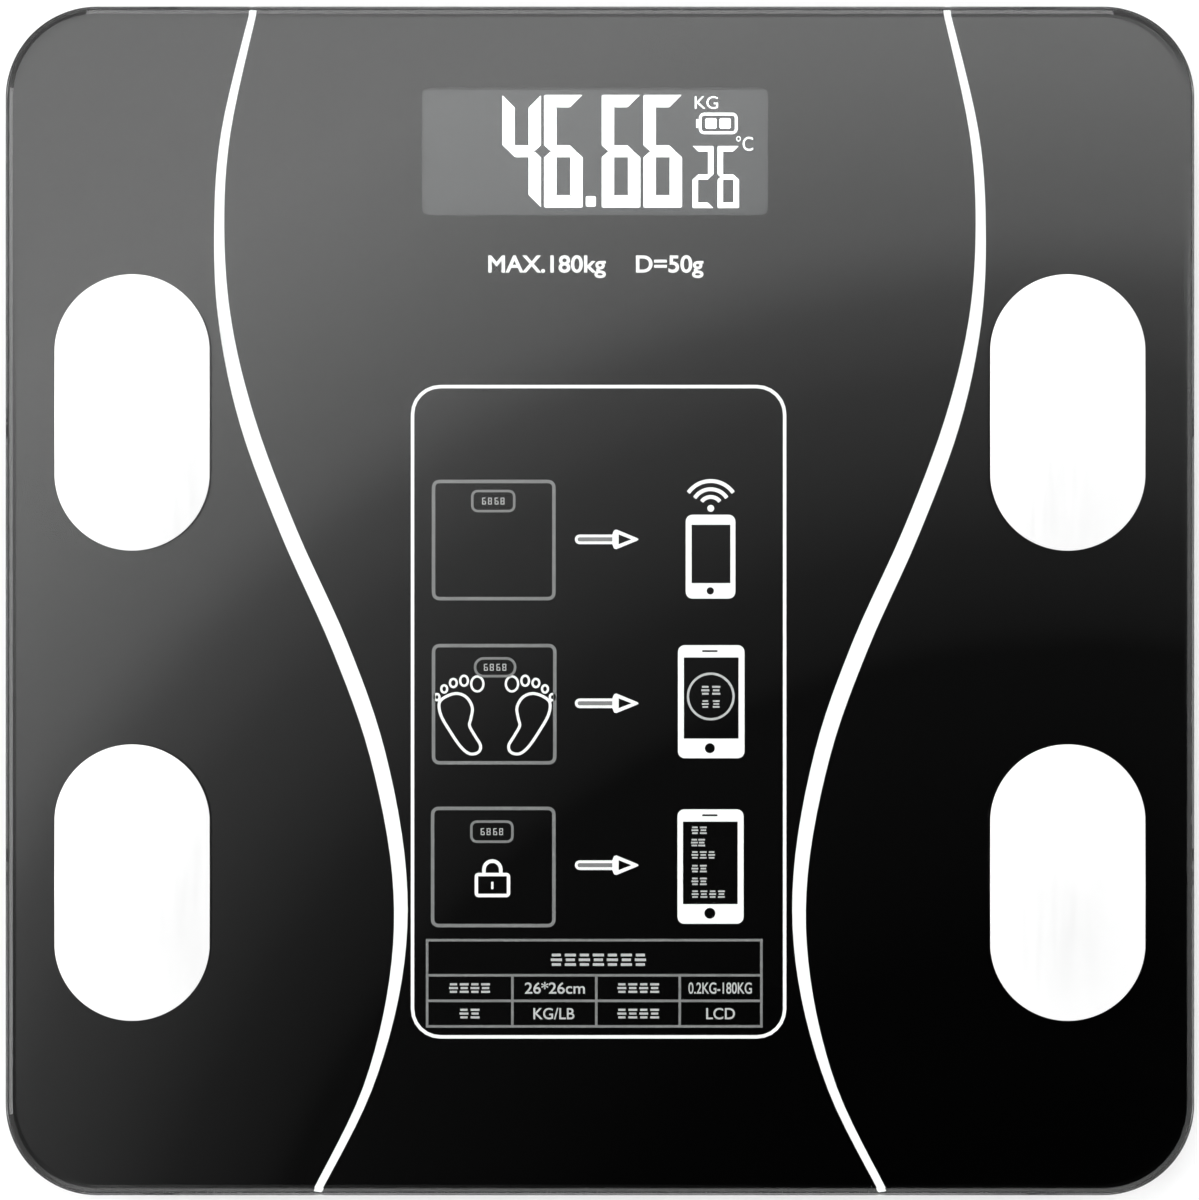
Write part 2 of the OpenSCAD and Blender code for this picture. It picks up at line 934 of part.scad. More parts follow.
module battery_hollow() {
    y_run = pocket_y1 - pocket_y0;
    seat_l = door_y1 - door_y0 + 2 * door_gap + latch_room;
    // room for the batteries and the door's tabs
    translate([-pocket_half, pocket_y0, tray_floor_z])
        cube([2 * pocket_half, y_run, box_inner_top - tray_floor_z]);
    // way in through the floor
    way_y0 = door_y0 - door_gap + 0.1;
    translate([-pocket_half, way_y0, tray_base_z - eps])
        cube([2 * pocket_half, pocket_y1 - way_y0, tray_wall + 1]);
    // seat of the door
    translate([-door_half - door_gap, door_y0 - door_gap, tray_base_z - eps])
        cube([2 * (door_half + door_gap), seat_l, recess_top - tray_base_z]);
    // finger scoop beside the door's free edge
    translate([0, door_y1, tray_base_z])
        linear_extrude(2 * scoop_depth, center = true)
            stadium(scoop_w, scoop_l);
    // slots for the contacts' tails
    slot_w = tail_w + 2 * tail_gap;
    for (side = [-1, 1])
        translate([pocket_half - 1, battery_y + (side * battery_pitch - slot_w) / 2, tail_base_z - tail_gap])
            cube([box_wall + 2, slot_w, contact_t + 2 * tail_gap]);
}

module button_guide() {
    w = button_w + 2 * flange_margin;
    l = button_l + 2 * flange_margin;
    translate([button_x, button_y, tray_floor_z - eps])
        difference() {
            rounded_slab(w + 2 * guide_wall, l + 2 * guide_wall, guide_h, guide_wall + 0.5);
            translate([0, 0, -eps])
                rounded_slab(w + 2 * button_gap, l + 2 * button_gap, guide_h + 2 * eps, button_hole_corner);
        }
}

module tray_openings() {
    for (turn = CORNERS)
        at_corner(turn) {
            translate([0, 0, tray_base_z - eps])
                cylinder(r = foot_hole_r, h = tray_wall + 2 * eps);
            at_ears()
                translate([0, 0, bracket_z - bracket_pilot_depth])
                    cylinder(r = pilot_r, h = bracket_pilot_depth + eps);
        }
    at_board_screws()
        translate([0, 0, board_z - board_pilot_depth])
            cylinder(r = pilot_r, h = board_pilot_depth + eps);
    translate([button_x, button_y, tray_base_z - eps])
        rounded_slab(button_hole_w, button_hole_l, tray_wall + 2 * eps, button_hole_corner);
    for (i = [0 : vent_count - 1])
        translate([vent_x + i * vent_pitch, vent_y, tray_base_z - eps])
            rounded_slab(vent_w, vent_l, tray_wall + 2 * eps, vent_w / 2 - eps);
    translate([0, label_y, tray_base_z - eps])
        rounded_slab(label_w, label_l, label_depth + eps, label_corner);
    battery_hollow();
}

module base_tray() {
    color(abs_colour)
        difference() {
            union() {
                swept_rim(tray_side, tray_corner)
                    tray_section();
                translate([-tray_middle / 2, -tray_middle / 2, tray_base_z])
                    cube([tray_middle, tray_middle, tray_wall]);
                for (turn = CORNERS)
                    at_corner(turn)
                        foot_station();
                at_board_screws()
                    translate([0, 0, tray_floor_z - eps])
                        cylinder(r = board_boss_r, h = board_z - tray_floor_z + eps);
                tray_ribs();
                battery_box();
                button_guide();
            }
            tray_openings();
        }
}

// ---------- battery compartment ----------

tab_root_t = 1.6;
tab_root_gap = 0.2;
door_tab_z = tray_base_z + 2.2;
tongue_half = 7;
tongue_slot = 1.2;
tongue_l = 8;
nib_half = 4;
nib_reach = 0.3;
nib_z = tray_base_z + 0.8;
grip_count = 4;
grip_w = 0.7;
grip_pitch = 1.5;
grip_start = 2.2;
grip_depth = 0.4;

module battery_door() {
    color(abs_colour)
        difference() {
            union() {
                translate([-door_half, door_y0, tray_base_z])
                    cube([2 * door_half, door_y1 - door_y0, door_t]);
                // tabs that hook over the tray floor
                for (x = [-door_tab_x, door_tab_x]) {
                    translate([x - door_tab_w / 2, door_y0 + tab_root_gap, tray_base_z + door_t - eps])
                        cube([door_tab_w, tab_root_t, door_tab_z + door_tab_t - tray_base_z - door_t + eps]);
                    translate([x - door_tab_w / 2, door_y0 - door_tab_reach, door_tab_z])
                        cube([door_tab_w, door_tab_reach + 1, door_tab_t]);
                }
                // nib of the snap latch
                translate([-nib_half, door_y1 - eps, nib_z])
                    cube([2 * nib_half, nib_reach, tray_base_z + door_t - nib_z]);
            }
            // slots that free the latch tongue
            for (side = [0, 1])
                mirror([side, 0, 0])
                    translate([tongue_half - tongue_slot, door_y1 - tongue_l, tray_base_z - eps])
                        cube([tongue_slot, tongue_l + eps, door_t + 2 * eps]);
            // grip grooves
            for (i = [0 : grip_count - 1])
                translate([-nib_half, door_y1 - grip_start - grip_pitch * i, tray_base_z - eps])
                    cube([2 * nib_half, grip_w, grip_depth]);
        }
}

button_rise = 0.9;
button_r = 1.9;
button_edge = 0.2;
jacket_turn = 0.3;
end_recess = 0.2;
shoulder = 0.5;
lip_w = 0.6;
groove_w = 0.3;

// Turned profile of a cell: jacket rolled over both ends, button on top
module battery(y, turn) {
    r = battery_r;
    body_l = battery_l - button_rise;
    lip_r = r - shoulder - lip_w;
    shift = pocket_half - button_room - battery_l;
    color("slategray")
        translate([0, y, battery_z])
            rotate([0, 0, turn])
                translate([shift, 0, 0])
                    rotate([0, 90, 0])
                        rotate_extrude()
                            polygon([
                                [0, end_recess],
                                [r - jacket_turn - lip_w - groove_w, end_recess],
                                [r - jacket_turn - lip_w, 0],
                                [r - jacket_turn, 0],
                                [r, jacket_turn],
                                [r, body_l - shoulder],
                                [r - shoulder, body_l],
                                [lip_r, body_l],
                                [lip_r - groove_w, body_l - end_recess],
                                [button_r, body_l - end_recess],
                                [button_r, battery_l - button_edge],
                                [button_r - button_edge, battery_l],
                                [0, battery_l]
                            ]);
}

module battery_a() battery(battery_y - battery_pitch / 2, 0);
module battery_b() battery(battery_y + battery_pitch / 2, 180);

coil_turns = 3;
coil_r1 = 3.6;
coil_r0 = 1.8;
coil_wire = 0.3;
coil_steps = 14;
coil_lift = 0.8;
dimple_r = 2;
dimple_tip_r = 1.2;
dimple_h = 0.5;

// Conical coil that stands on a contact and grows towards +X
module contact_coil() {
    steps = coil_turns * coil_steps;
    rise = spring_room - contact_t - 2 * coil_wire;
    path = [
        for (i = [0 : steps])
            let (f = i / steps, r = coil_r1 + (coil_r0 - coil_r1) * f, angle = 360 * coil_turns * f)
            [coil_lift * coil_wire + rise * f, r * cos(angle), r * sin(angle)]
    ];
    tube(path, coil_wire, [1, 0, 0]);
}

module contact_plate(l) {
    translate([0, -l / 2, -contact_h / 2])
        cube([contact_t, l, contact_h]);
}

module contact_dimple() {
    translate([contact_t - eps, 0, 0])
        rotate([0, 90, 0])
            cylinder(r1 = dimple_r, r2 = dimple_tip_r, h = dimple_h);
}

module contact_tail() {
    translate([-tail_l, -tail_w / 2, tail_lift])
        cube([tail_l + contact_t / 2, tail_w, contact_t]);
}

module battery_bridge() {
    color("silver")
        translate([-pocket_half, battery_y, battery_z]) {
            contact_plate(battery_pitch + contact_w);
            translate([contact_t, -battery_pitch / 2, 0])
                contact_coil();
            translate([0, battery_pitch / 2, 0])
                contact_dimple();
        }
}

module battery_spring() {
    color("silver")
        translate([pocket_half, battery_y + battery_pitch / 2, battery_z])
            rotate([0, 0, 180]) {
                contact_plate(contact_w);
                translate([contact_t, 0, 0])
                    contact_coil();
                contact_tail();
            }
}

module battery_plate() {
    color("silver")
        translate([pocket_half, battery_y - battery_pitch / 2, battery_z])
            rotate([0, 0, 180]) {
                contact_plate(contact_w);
                contact_dimple();
                contact_tail();
            }
}

tail_z = tail_base_z + contact_t + lead_r;

module battery_leads() {
    tail_x = pocket_half + 2.4;
    spring_y = battery_y + battery_pitch / 2;
    plate_y = battery_y - battery_pitch / 2;
    color("firebrick")
        lead([
            [tail_x, plate_y, tail_z], [31, plate_y + 1, 14.6], [36, 42, 14], [37.5, 54, 13.4],
            [33, 64, 13.2], [32, 71.6, board_top_z + lead_r]
        ]);
    color("dimgray")
        lead([
            [tail_x, spring_y, tail_z], [30, spring_y + 2, 14.6], [33, 52, 14], [31, 62, 13.4],
            [29, 71.6, board_top_z + lead_r]
        ]);
}

// ---------- unit button ----------

module unit_button() {
    face_z = tray_base_z + button_recess;
    flange_w = button_w + 2 * flange_margin;
    flange_l = button_l + 2 * flange_margin;
    color("gray")
        translate([button_x, button_y, 0]) {
            translate([0, 0, face_z])
                rounded_slab(button_w, button_l, flange_z - face_z + eps, 1);
            translate([0, 0, flange_z])
                rounded_slab(flange_w, flange_l, flange_top - flange_z, 1);
        }
}

// ---------- load cells ----------

module load_cell(turn) {
    tongue = cell_side - 2 * (cell_frame + cell_slot);
    slot_l = 22;
    color(steel_colour)
        at_corner(turn)
            translate([0, 0, cell_z])
                linear_extrude(cell_t)
                    difference() {
                        rounded_rect(cell_side, cell_side, cell_round);
                        difference() {
                            translate([0, 1])
                                square([tongue + 2 * cell_slot, slot_l], center = true);
                            translate([0, 1 - cell_slot])
                                square([tongue, slot_l], center = true);
                        }
                        // notches that narrow the tongue's neck to the gauge beam
                        for (side = [-1, 1])
                            translate([side * tongue / 2, neck_y])
                                square([tongue - 10, coating_l], center = true);
                    }
}

module load_cell_toe_left() load_cell(TOE_LEFT);
module load_cell_toe_right() load_cell(TOE_RIGHT);
module load_cell_heel_left() load_cell(HEEL_LEFT);
module load_cell_heel_right() load_cell(HEEL_RIGHT);

module gauge_coatings() {
    color("white")
        for (turn = CORNERS)
            at_corner(turn)
                translate([0, neck_y, cell_top_z])
                    rounded_slab(coating_w, coating_l, coating_t, 1.5);
}

module cell_bracket(turn) {
    color("lightgray")
        at_corner(turn)
            difference() {
                union() {
                    // ring that presses on the load cell's outer frame
                    translate([0, 0, cell_top_z])
                        difference() {
                            rounded_slab(cell_side, cell_side, ring_t + eps, cell_round);
                            translate([0, 0, -eps])
                                rounded_slab(ring_side, ring_side, ring_t + eps, 1.5);
                            translate([-lead_notch_w / 2, -cell_side, -eps])
                                cube([lead_notch_w, cell_side, ring_t + eps]);
                        }
                    translate([0, 0, bracket_z])
                        linear_extrude(bracket_t) {
                            rounded_rect(bracket_side, bracket_side, 3);
                            rotate(45)
                                stadium(ear_w, 2 * ear_reach * sqrt(2) + ear_w);
                        }
                    translate([0, 0, bracket_top_z - eps])
                        cylinder(r = pillar_r, h = foam_z - bracket_top_z + eps);
                }
                translate([0, 0, bracket_top_z])
                    cylinder(r = pillar_r - pillar_wall, h = foam_z);
                translate([0, 0, bracket_z - eps])
                    cylinder(r = bracket_hole_r, h = bracket_t + 2 * eps);
                at_ears()
                    translate([0, 0, bracket_z - eps])
                        cylinder(r = screw_clear_r, h = bracket_t + 2 * eps);
            }
}

module cell_bracket_toe_left() cell_bracket(TOE_LEFT);
module cell_bracket_toe_right() cell_bracket(TOE_RIGHT);
module cell_bracket_heel_left() cell_bracket(HEEL_LEFT);
module cell_bracket_heel_right() cell_bracket(HEEL_RIGHT);

module bracket_screws() {
    color("silver")
        for (turn = CORNERS)
            at_corner(turn)
                at_ears()
                    translate([0, 0, bracket_top_z])
                        pan_screw(bracket_screw_l);
}

// Lead routes, from the gauge coating out through the bracket's notch to the board's edge
lead_exit_z = cell_top_z + 0.75;
lead_end_z = board_top_z + lead_r;

module cell_leads_toe_right() {
    lead_trio([
        [93, 83, lead_exit_z], [93, 76, lead_exit_z], [92.5, 71, 11], [88, 64, 8.5], [78, 66, 8],
        [68, 76, 8.4], [60, 88, 10.6], [54.5, 92.4, 12.6], [board_right_x, 93, lead_end_z]
    ]);
}

module cell_leads_toe_left() {
    lead_trio([
        [-83, 93, lead_exit_z], [-76, 93, lead_exit_z], [-71, 92.6, 11], [-64, 91.6, 9.4],
        [-58, 90.6, 11], [-55, 90, 12.6], [board_left_x, 89.6, lead_end_z]
    ]);
}

module cell_leads_heel_left() {
    lead_trio([
        [-93, -83, lead_exit_z], [-93, -76, lead_exit_z], [-92, -71, 10], [-84, -64, 7.4], [-72, -62, 6.8],
        [-62, -50, 6.8], [-58, -20, 6.8], [-58, 40, 6.8], [-59, 66, 7.4], [-57, 77, 11],
        [board_left_x - 3.5, 80.6, 12.7], [board_left_x, 81, lead_end_z]
    ]);
}

module cell_leads_heel_right() {
    lead_trio([
        [83, -93, lead_exit_z], [76, -93, lead_exit_z], [71, -92, 10], [64, -86, 7.4], [60, -74, 6.8],
        [58, -40, 6.8], [57, 20, 6.8], [57, 60, 6.8], [56, 74, 9.5],
        [board_right_x + 3.5, 80.4, 12.7], [board_right_x, 81, lead_end_z]
    ]);
}

// ---------- feet ----------

module foot_cup(turn) {
    rim_top = tray_floor_z + tab_lift + tab_t;
    color(abs_colour)
        at_corner(turn)
            difference() {
                union() {
                    translate([0, 0, cup_z])
                        rotate_extrude()
                            polygon([
                                [0, 0], [foot_r - 0.6, 0], [foot_r, 0.6], [foot_r, rim_top - cup_z],
                                [foot_r - cup_wall, rim_top - cup_z], [foot_r - cup_wall, cup_floor_t],
                                [post_r, cup_floor_t], [post_r, cell_z - cup_z], [0, cell_z - cup_z]
                            ]);
                    for (angle = [0 : 90 : 270])
                        rotate([0, 0, angle]) {
                            translate([0, -cup_rib_t / 2, cup_z + 1])
                                cube([foot_r - 1, cup_rib_t, cup_rib_top - cup_z - 1]);
                            translate([foot_r - cup_wall, -tab_w / 2, rim_top - tab_t])
                                cube([cup_wall + tab_reach, tab_w, tab_t]);
                        }
                }
                translate([0, 0, cup_z - eps])
                    cylinder(r = pad_r + 0.1, h = pad_seat + eps);
            }
}

module foot_cup_toe_left() foot_cup(TOE_LEFT);
module foot_cup_toe_right() foot_cup(TOE_RIGHT);
module foot_cup_heel_left() foot_cup(HEEL_LEFT);
module foot_cup_heel_right() foot_cup(HEEL_RIGHT);

// Rubber pad with ring grooves in its tread
module foot_pad(turn) {
    color([0.2, 0.2, 0.2])
        at_corner(turn)
            difference() {
                rotate_extrude()
                    polygon([[0, 0], [pad_r - 0.5, 0], [pad_r, 0.5], [pad_r, pad_t], [0, pad_t]]);
                for (r = [5 : 3.6 : pad_r - 2])
                    translate([0, 0, -eps])
                        difference() {
                            cylinder(r = r + pad_groove_w, h = pad_groove_depth + eps);
                            translate([0, 0, -eps])
                                cylinder(r = r, h = pad_groove_depth + 3 * eps);
                        }
            }
}

module foot_pad_toe_left() foot_pad(TOE_LEFT);
module foot_pad_toe_right() foot_pad(TOE_RIGHT);
module foot_pad_heel_left() foot_pad(HEEL_LEFT);
module foot_pad_heel_right() foot_pad(HEEL_RIGHT);

glass_platform();
printed_film();
electrode_toe_left();
electrode_toe_right();
electrode_heel_left();
electrode_heel_right();
electrode_nuts();
electrode_terminals();
electrode_leads();
foam_gasket();
adhesive_pads();
lcd_glass();
lcd_backlight();
lcd_frame();
contact_strip();
main_board();
controller_chip();
wireless_module();
board_components();
tact_switch();
switch_plunger();
board_screws();
base_tray();
battery_door();
unit_button();
battery_a();
battery_b();
battery_bridge();
battery_spring();
battery_plate();
battery_leads();
load_cell_toe_left();
load_cell_toe_right();
load_cell_heel_left();
load_cell_heel_right();
gauge_coatings();
cell_bracket_toe_left();
cell_bracket_toe_right();
cell_bracket_heel_left();
cell_bracket_heel_right();
bracket_screws();
cell_leads_toe_left();
cell_leads_toe_right();
cell_leads_heel_left();
cell_leads_heel_right();
foot_cup_toe_left();
foot_cup_toe_right();
foot_cup_heel_left();
foot_cup_heel_right();
foot_pad_toe_left();
foot_pad_toe_right();
foot_pad_heel_left();
foot_pad_heel_right();
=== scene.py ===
import json
import math

import bpy
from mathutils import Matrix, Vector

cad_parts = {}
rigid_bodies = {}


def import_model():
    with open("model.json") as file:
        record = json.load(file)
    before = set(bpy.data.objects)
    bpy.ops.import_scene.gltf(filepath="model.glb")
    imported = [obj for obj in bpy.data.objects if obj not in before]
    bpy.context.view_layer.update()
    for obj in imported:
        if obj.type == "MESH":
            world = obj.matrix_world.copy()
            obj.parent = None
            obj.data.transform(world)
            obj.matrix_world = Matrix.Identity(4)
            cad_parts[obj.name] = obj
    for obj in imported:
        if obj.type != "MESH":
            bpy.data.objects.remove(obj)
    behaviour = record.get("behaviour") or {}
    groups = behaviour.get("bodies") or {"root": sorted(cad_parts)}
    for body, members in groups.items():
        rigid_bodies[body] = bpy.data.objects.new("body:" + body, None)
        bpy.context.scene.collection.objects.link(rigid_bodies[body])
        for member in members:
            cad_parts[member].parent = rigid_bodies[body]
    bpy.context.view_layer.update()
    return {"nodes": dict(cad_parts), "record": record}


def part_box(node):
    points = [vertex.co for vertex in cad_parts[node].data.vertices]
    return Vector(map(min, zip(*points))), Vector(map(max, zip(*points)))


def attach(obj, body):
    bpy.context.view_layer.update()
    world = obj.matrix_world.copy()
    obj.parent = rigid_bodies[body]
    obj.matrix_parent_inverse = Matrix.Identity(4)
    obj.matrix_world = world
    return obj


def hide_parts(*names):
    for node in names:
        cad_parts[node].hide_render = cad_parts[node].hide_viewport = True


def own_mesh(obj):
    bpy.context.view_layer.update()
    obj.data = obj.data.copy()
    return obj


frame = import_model()
nodes = frame["nodes"]
mm = 0.001
corners = ["toe_left", "toe_right", "heel_left", "heel_right"]


def pickOnly(obj):
    bpy.ops.object.select_all(action="DESELECT")
    obj.select_set(True)
    bpy.context.view_layer.objects.active = obj


def startPiece(name):
    # the primitive just added becomes this piece
    obj = bpy.context.object
    obj.name = name
    obj.data.name = name
    pickOnly(obj)
    return obj


def choose(obj, kind, test):
    # leaves edit mode on, with only what passes the test selected
    bpy.ops.object.mode_set(mode="EDIT")
    bpy.ops.mesh.select_mode(type=kind)
    bpy.ops.mesh.select_all(action="DESELECT")
    bpy.ops.object.mode_set(mode="OBJECT")
    mesh = obj.data
    things = {"VERT": mesh.vertices, "EDGE": mesh.edges, "FACE": mesh.polygons}[kind]
    for thing in things:
        thing.select = test(thing)
    bpy.ops.object.mode_set(mode="EDIT")


def edgeEnds(obj, edge):
    return [obj.data.vertices[i].co for i in edge.vertices]


def isUpright(obj, edge):
    a, b = edgeEnds(obj, edge)
    return abs(a.x - b.x) < 1e-6 and abs(a.y - b.y) < 1e-6


def liesAt(obj, edge, z):
    a, b = edgeEnds(obj, edge)
    return abs(a.z - z) < 1e-6 and abs(b.z - z) < 1e-6


def settle(obj):
    # puts the place, turn and size into the mesh
    pickOnly(obj)
    bpy.ops.object.transform_apply(location=True, rotation=True, scale=True)


def cleanUp(obj):
    pickOnly(obj)
    bpy.ops.object.mode_set(mode="EDIT")
    bpy.ops.mesh.select_all(action="SELECT")
    bpy.ops.mesh.remove_doubles(threshold=1e-7)
    bpy.ops.mesh.normals_make_consistent(inside=False)
    bpy.ops.object.mode_set(mode="OBJECT")


def applyAll(obj):
    pickOnly(obj)
    for modifier in list(obj.modifiers):
        bpy.ops.object.modifier_apply(modifier=modifier.name)


def smoothEdges(obj, degrees=32):
    pickOnly(obj)
    bpy.ops.object.shade_smooth_by_angle(angle=math.radians(degrees))


def bevelSharp(obj, degrees, width, segments):
    bevel = obj.modifiers.new("soft", "BEVEL")
    bevel.limit_method = "ANGLE"
    bevel.angle_limit = math.radians(degrees)
    bevel.width = width * mm
    bevel.segments = segments
    applyAll(obj)


def flattenFaces(obj, area):
    # broad faces keep their own direction, so they mirror without bending
    for face in obj.data.polygons:
        if face.area > area:
            face.use_smooth = False


def copyOf(obj, name):
    pickOnly(obj)
    bpy.ops.object.duplicate(linked=False)
    twin = bpy.context.object
    twin.name = name
    twin.data.name = name
    return twin


def finishPiece(obj, material, body, slot, *replaced):
    obj.data.materials.clear()
    obj.data.materials.append(material)
    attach(obj, body)
    if replaced:
        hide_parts(*replaced)


def roundedLoop(x0, x1, y0, y1, r, steps=6):
    loop = []
    centres = ((x1 - r, y1 - r), (x0 + r, y1 - r), (x0 + r, y0 + r), (x1 - r, y0 + r))
    for quarter, (cx, cy) in enumerate(centres):
        for step in range(steps + 1):
            angle = math.radians(90 * quarter + 90 * step / steps)
            loop.append((cx + r * math.cos(angle), cy + r * math.sin(angle)))
    return loop


def roundedRing(x0, x1, y0, y1, r, line):
    half = line / 2
    return [
        roundedLoop(x0 - half, x1 + half, y0 - half, y1 + half, r + half),
        roundedLoop(x0 + half, x1 - half, y0 + half, y1 - half, max(r - half, 0.05)),
    ]


def discLoop(x, y, r, steps=24):
    return [
        (x + r * math.cos(2 * math.pi * i / steps), y + r * math.sin(2 * math.pi * i / steps))
        for i in range(steps)
    ]


def discRing(x, y, r, line):
    return [discLoop(x, y, r + line / 2, 40), discLoop(x, y, r - line / 2, 40)]


def boxLoop(x0, x1, y0, y1):
    return [(x0, y0), (x1, y0), (x1, y1), (x0, y1)]


def smoothPath(points, closed=False, steps=6):
    # a soft curve through every point; a point may carry its width as a third number
    count = len(points)
    path = []
    for i in range(count if closed else count - 1):
        steady = [i + k if closed else min(max(i + k, 0), count - 1) for k in (-1, 0, 1, 2)]
        around = [points[k % count] for k in steady]
        for step in range(steps):
            t = step / steps
            path.append(tuple(
                0.5 * (2 * b + (c - a) * t + (2 * a - 5 * b + 4 * c - d) * t * t + (3 * b - a - 3 * c + d) * t ** 3)
                for a, b, c, d in zip(*around)
            ))
    if not closed:
        path.append(tuple(points[-1]))
    return path


def shifted(path, distances, closed):
    # the path moved sideways, to its left where the distance is positive
    out = []
    count = len(path)
    for i, point in enumerate(path):
        before = path[i - 1] if closed or i else point
        after = path[(i + 1) % count] if closed or i < count - 1 else point
        dx, dy = after[0] - before[0], after[1] - before[1]
        length = math.hypot(dx, dy)
        out.append((point[0] - dy / length * distances[i], point[1] + dx / length * distances[i]))
    return out


def strokeLoops(path, widths, closed=False):
    if not isinstance(widths, (list, tuple)):
        widths = [widths] * len(path)
    left = shifted(path, [w / 2 for w in widths], closed)
    right = shifted(path, [-w / 2 for w in widths], closed)
    return [left, right] if closed else [left + right[::-1]]


def arcPath(x, y, r, fromDegrees, toDegrees, steps=14):
    angles = [math.radians(fromDegrees + (toDegrees - fromDegrees) * i / steps) for i in range(steps + 1)]
    return [(x + r * math.cos(a), y + r * math.sin(a)) for a in angles]


def drawFlat(name, loops, low, high):
    # fills the loops, a loop inside another being a hole, and gives them a thickness
    bpy.ops.curve.primitive_bezier_curve_add()
    obj = startPiece(name)
    curve = obj.data
    curve.splines.clear()
    curve.dimensions = "2D"
    curve.fill_mode = "BOTH"
    curve.extrude = (high - low) / 2
    for loop in loops:
        spline = curve.splines.new("POLY")
        spline.points.add(len(loop) - 1)
        for point, (x, y) in zip(spline.points, loop):
            point.co = (x, y, 0, 1)
        spline.use_cyclic_u = True
    bpy.ops.object.convert(target="MESH")
    return placeFlat(bpy.context.object, low, high)


def placeFlat(obj, low, high):
    obj.location.z = (low + high) / 2 * mm
    obj.scale = (mm, mm, mm)
    settle(obj)
    cleanUp(obj)
    return obj


capitalShare = 0.69  # height of a capital in the built-in letters, as a share of their size


def lettering(name, words, left, right, base, capHeight, low, high, weight=0.0):
    # one line of plain letters or figures, fitted to its width and capital height
    bpy.ops.object.text_add()
    obj = startPiece(name)
    obj.data.body = words
    obj.data.offset = weight
    obj.data.extrude = (high - low) / 2
    bpy.ops.object.convert(target="MESH")
    obj = bpy.context.object
    xs = [v.co.x for v in obj.data.vertices]
    across = (right - left) / (max(xs) - min(xs))
    up = capHeight / capitalShare
    obj.scale = (across, up, 1)
    obj.location = (left - min(xs) * across, base, 0)
    settle(obj)
    return placeFlat(obj, low, high)


def joinPieces(name, pieces):
    pickOnly(pieces[0])
    for piece in pieces[1:]:
        piece.select_set(True)
    bpy.ops.object.join()
    obj = bpy.context.object
    obj.name = name
    obj.data.name = name
    return obj


def newGroup(name, inputs, outputs):
    group = bpy.data.node_groups.new(name, "ShaderNodeTree")
    for label, kind, value in inputs:
        socket = group.interface.new_socket(label, in_out="INPUT", socket_type="NodeSocket" + kind)
        if value is not None:
            socket.default_value = value
    for label, kind in outputs:
        group.interface.new_socket(label, in_out="OUTPUT", socket_type="NodeSocket" + kind)
    tree = group.nodes
    return group, tree.new("NodeGroupInput"), tree.new("NodeGroupOutput")


def addNode(tree, kind, links=None, **settings):
    # links: input name or number -> a socket to join or a value to set
    node = tree.nodes.new("ShaderNode" + kind)
    for key, value in settings.items():
        setattr(node, key, value)
    for key, value in (links or {}).items():
        socket = node.inputs[key]
        if isinstance(value, bpy.types.NodeSocket):
            tree.links.new(value, socket)
        else:
            socket.default_value = value
    return node


def combine(tree, operation, *values, **settings):
    # a sum, product or comparison of sockets and numbers
    return addNode(tree, "Math", dict(enumerate(values)), operation=operation, **settings).outputs[0]


def blend(tree, amount, first, second):
    return addNode(tree, "Mix", {0: amount, 6: first, 7: second}, data_type="RGBA").outputs[2]


def objectPlace(tree, scale=(1, 1, 1)):
    place = addNode(tree, "TexCoord").outputs["Object"]
    return addNode(tree, "Mapping", {"Vector": place, "Scale": scale}).outputs["Vector"]


def makeGrain():
    # fine moulded or cast texture: a mottled colour, a roughness and a height
    group, into, out = newGroup(
        "surfaceGrain",
        [("Color", "Color", (0.5, 0.5, 0.5, 1)), ("Variation", "Float", 0.1), ("Roughness", "Float", 0.5),
         ("Roughness Variation", "Float", 0.1), ("Scale", "Float", 900.0)],
        [("Color", "Color"), ("Roughness", "Float"), ("Height", "Float")],
    )
    place = objectPlace(group)
    fine = addNode(group, "TexNoise", {"Vector": place, "Scale": into.outputs["Scale"], "Detail": 3.0})
    broad = addNode(group, "TexNoise", {"Vector": place, "Scale": 38.0, "Detail": 4.0})
    spread = combine(group, "ADD", fine.outputs["Fac"], broad.outputs["Fac"])
    centred = combine(group, "SUBTRACT", spread, 1.0)
    tint = combine(group, "MULTIPLY_ADD", centred, into.outputs["Variation"], 1.0)
    shaded = addNode(group, "VectorMath", {0: into.outputs["Color"], 3: tint}, operation="SCALE")
    rough = combine(group, "MULTIPLY_ADD", centred, into.outputs["Roughness Variation"],
                    into.outputs["Roughness"], use_clamp=True)
    group.links.new(shaded.outputs[0], out.inputs["Color"])
    group.links.new(rough, out.inputs["Roughness"])
    group.links.new(fine.outputs["Fac"], out.inputs["Height"])
    return group


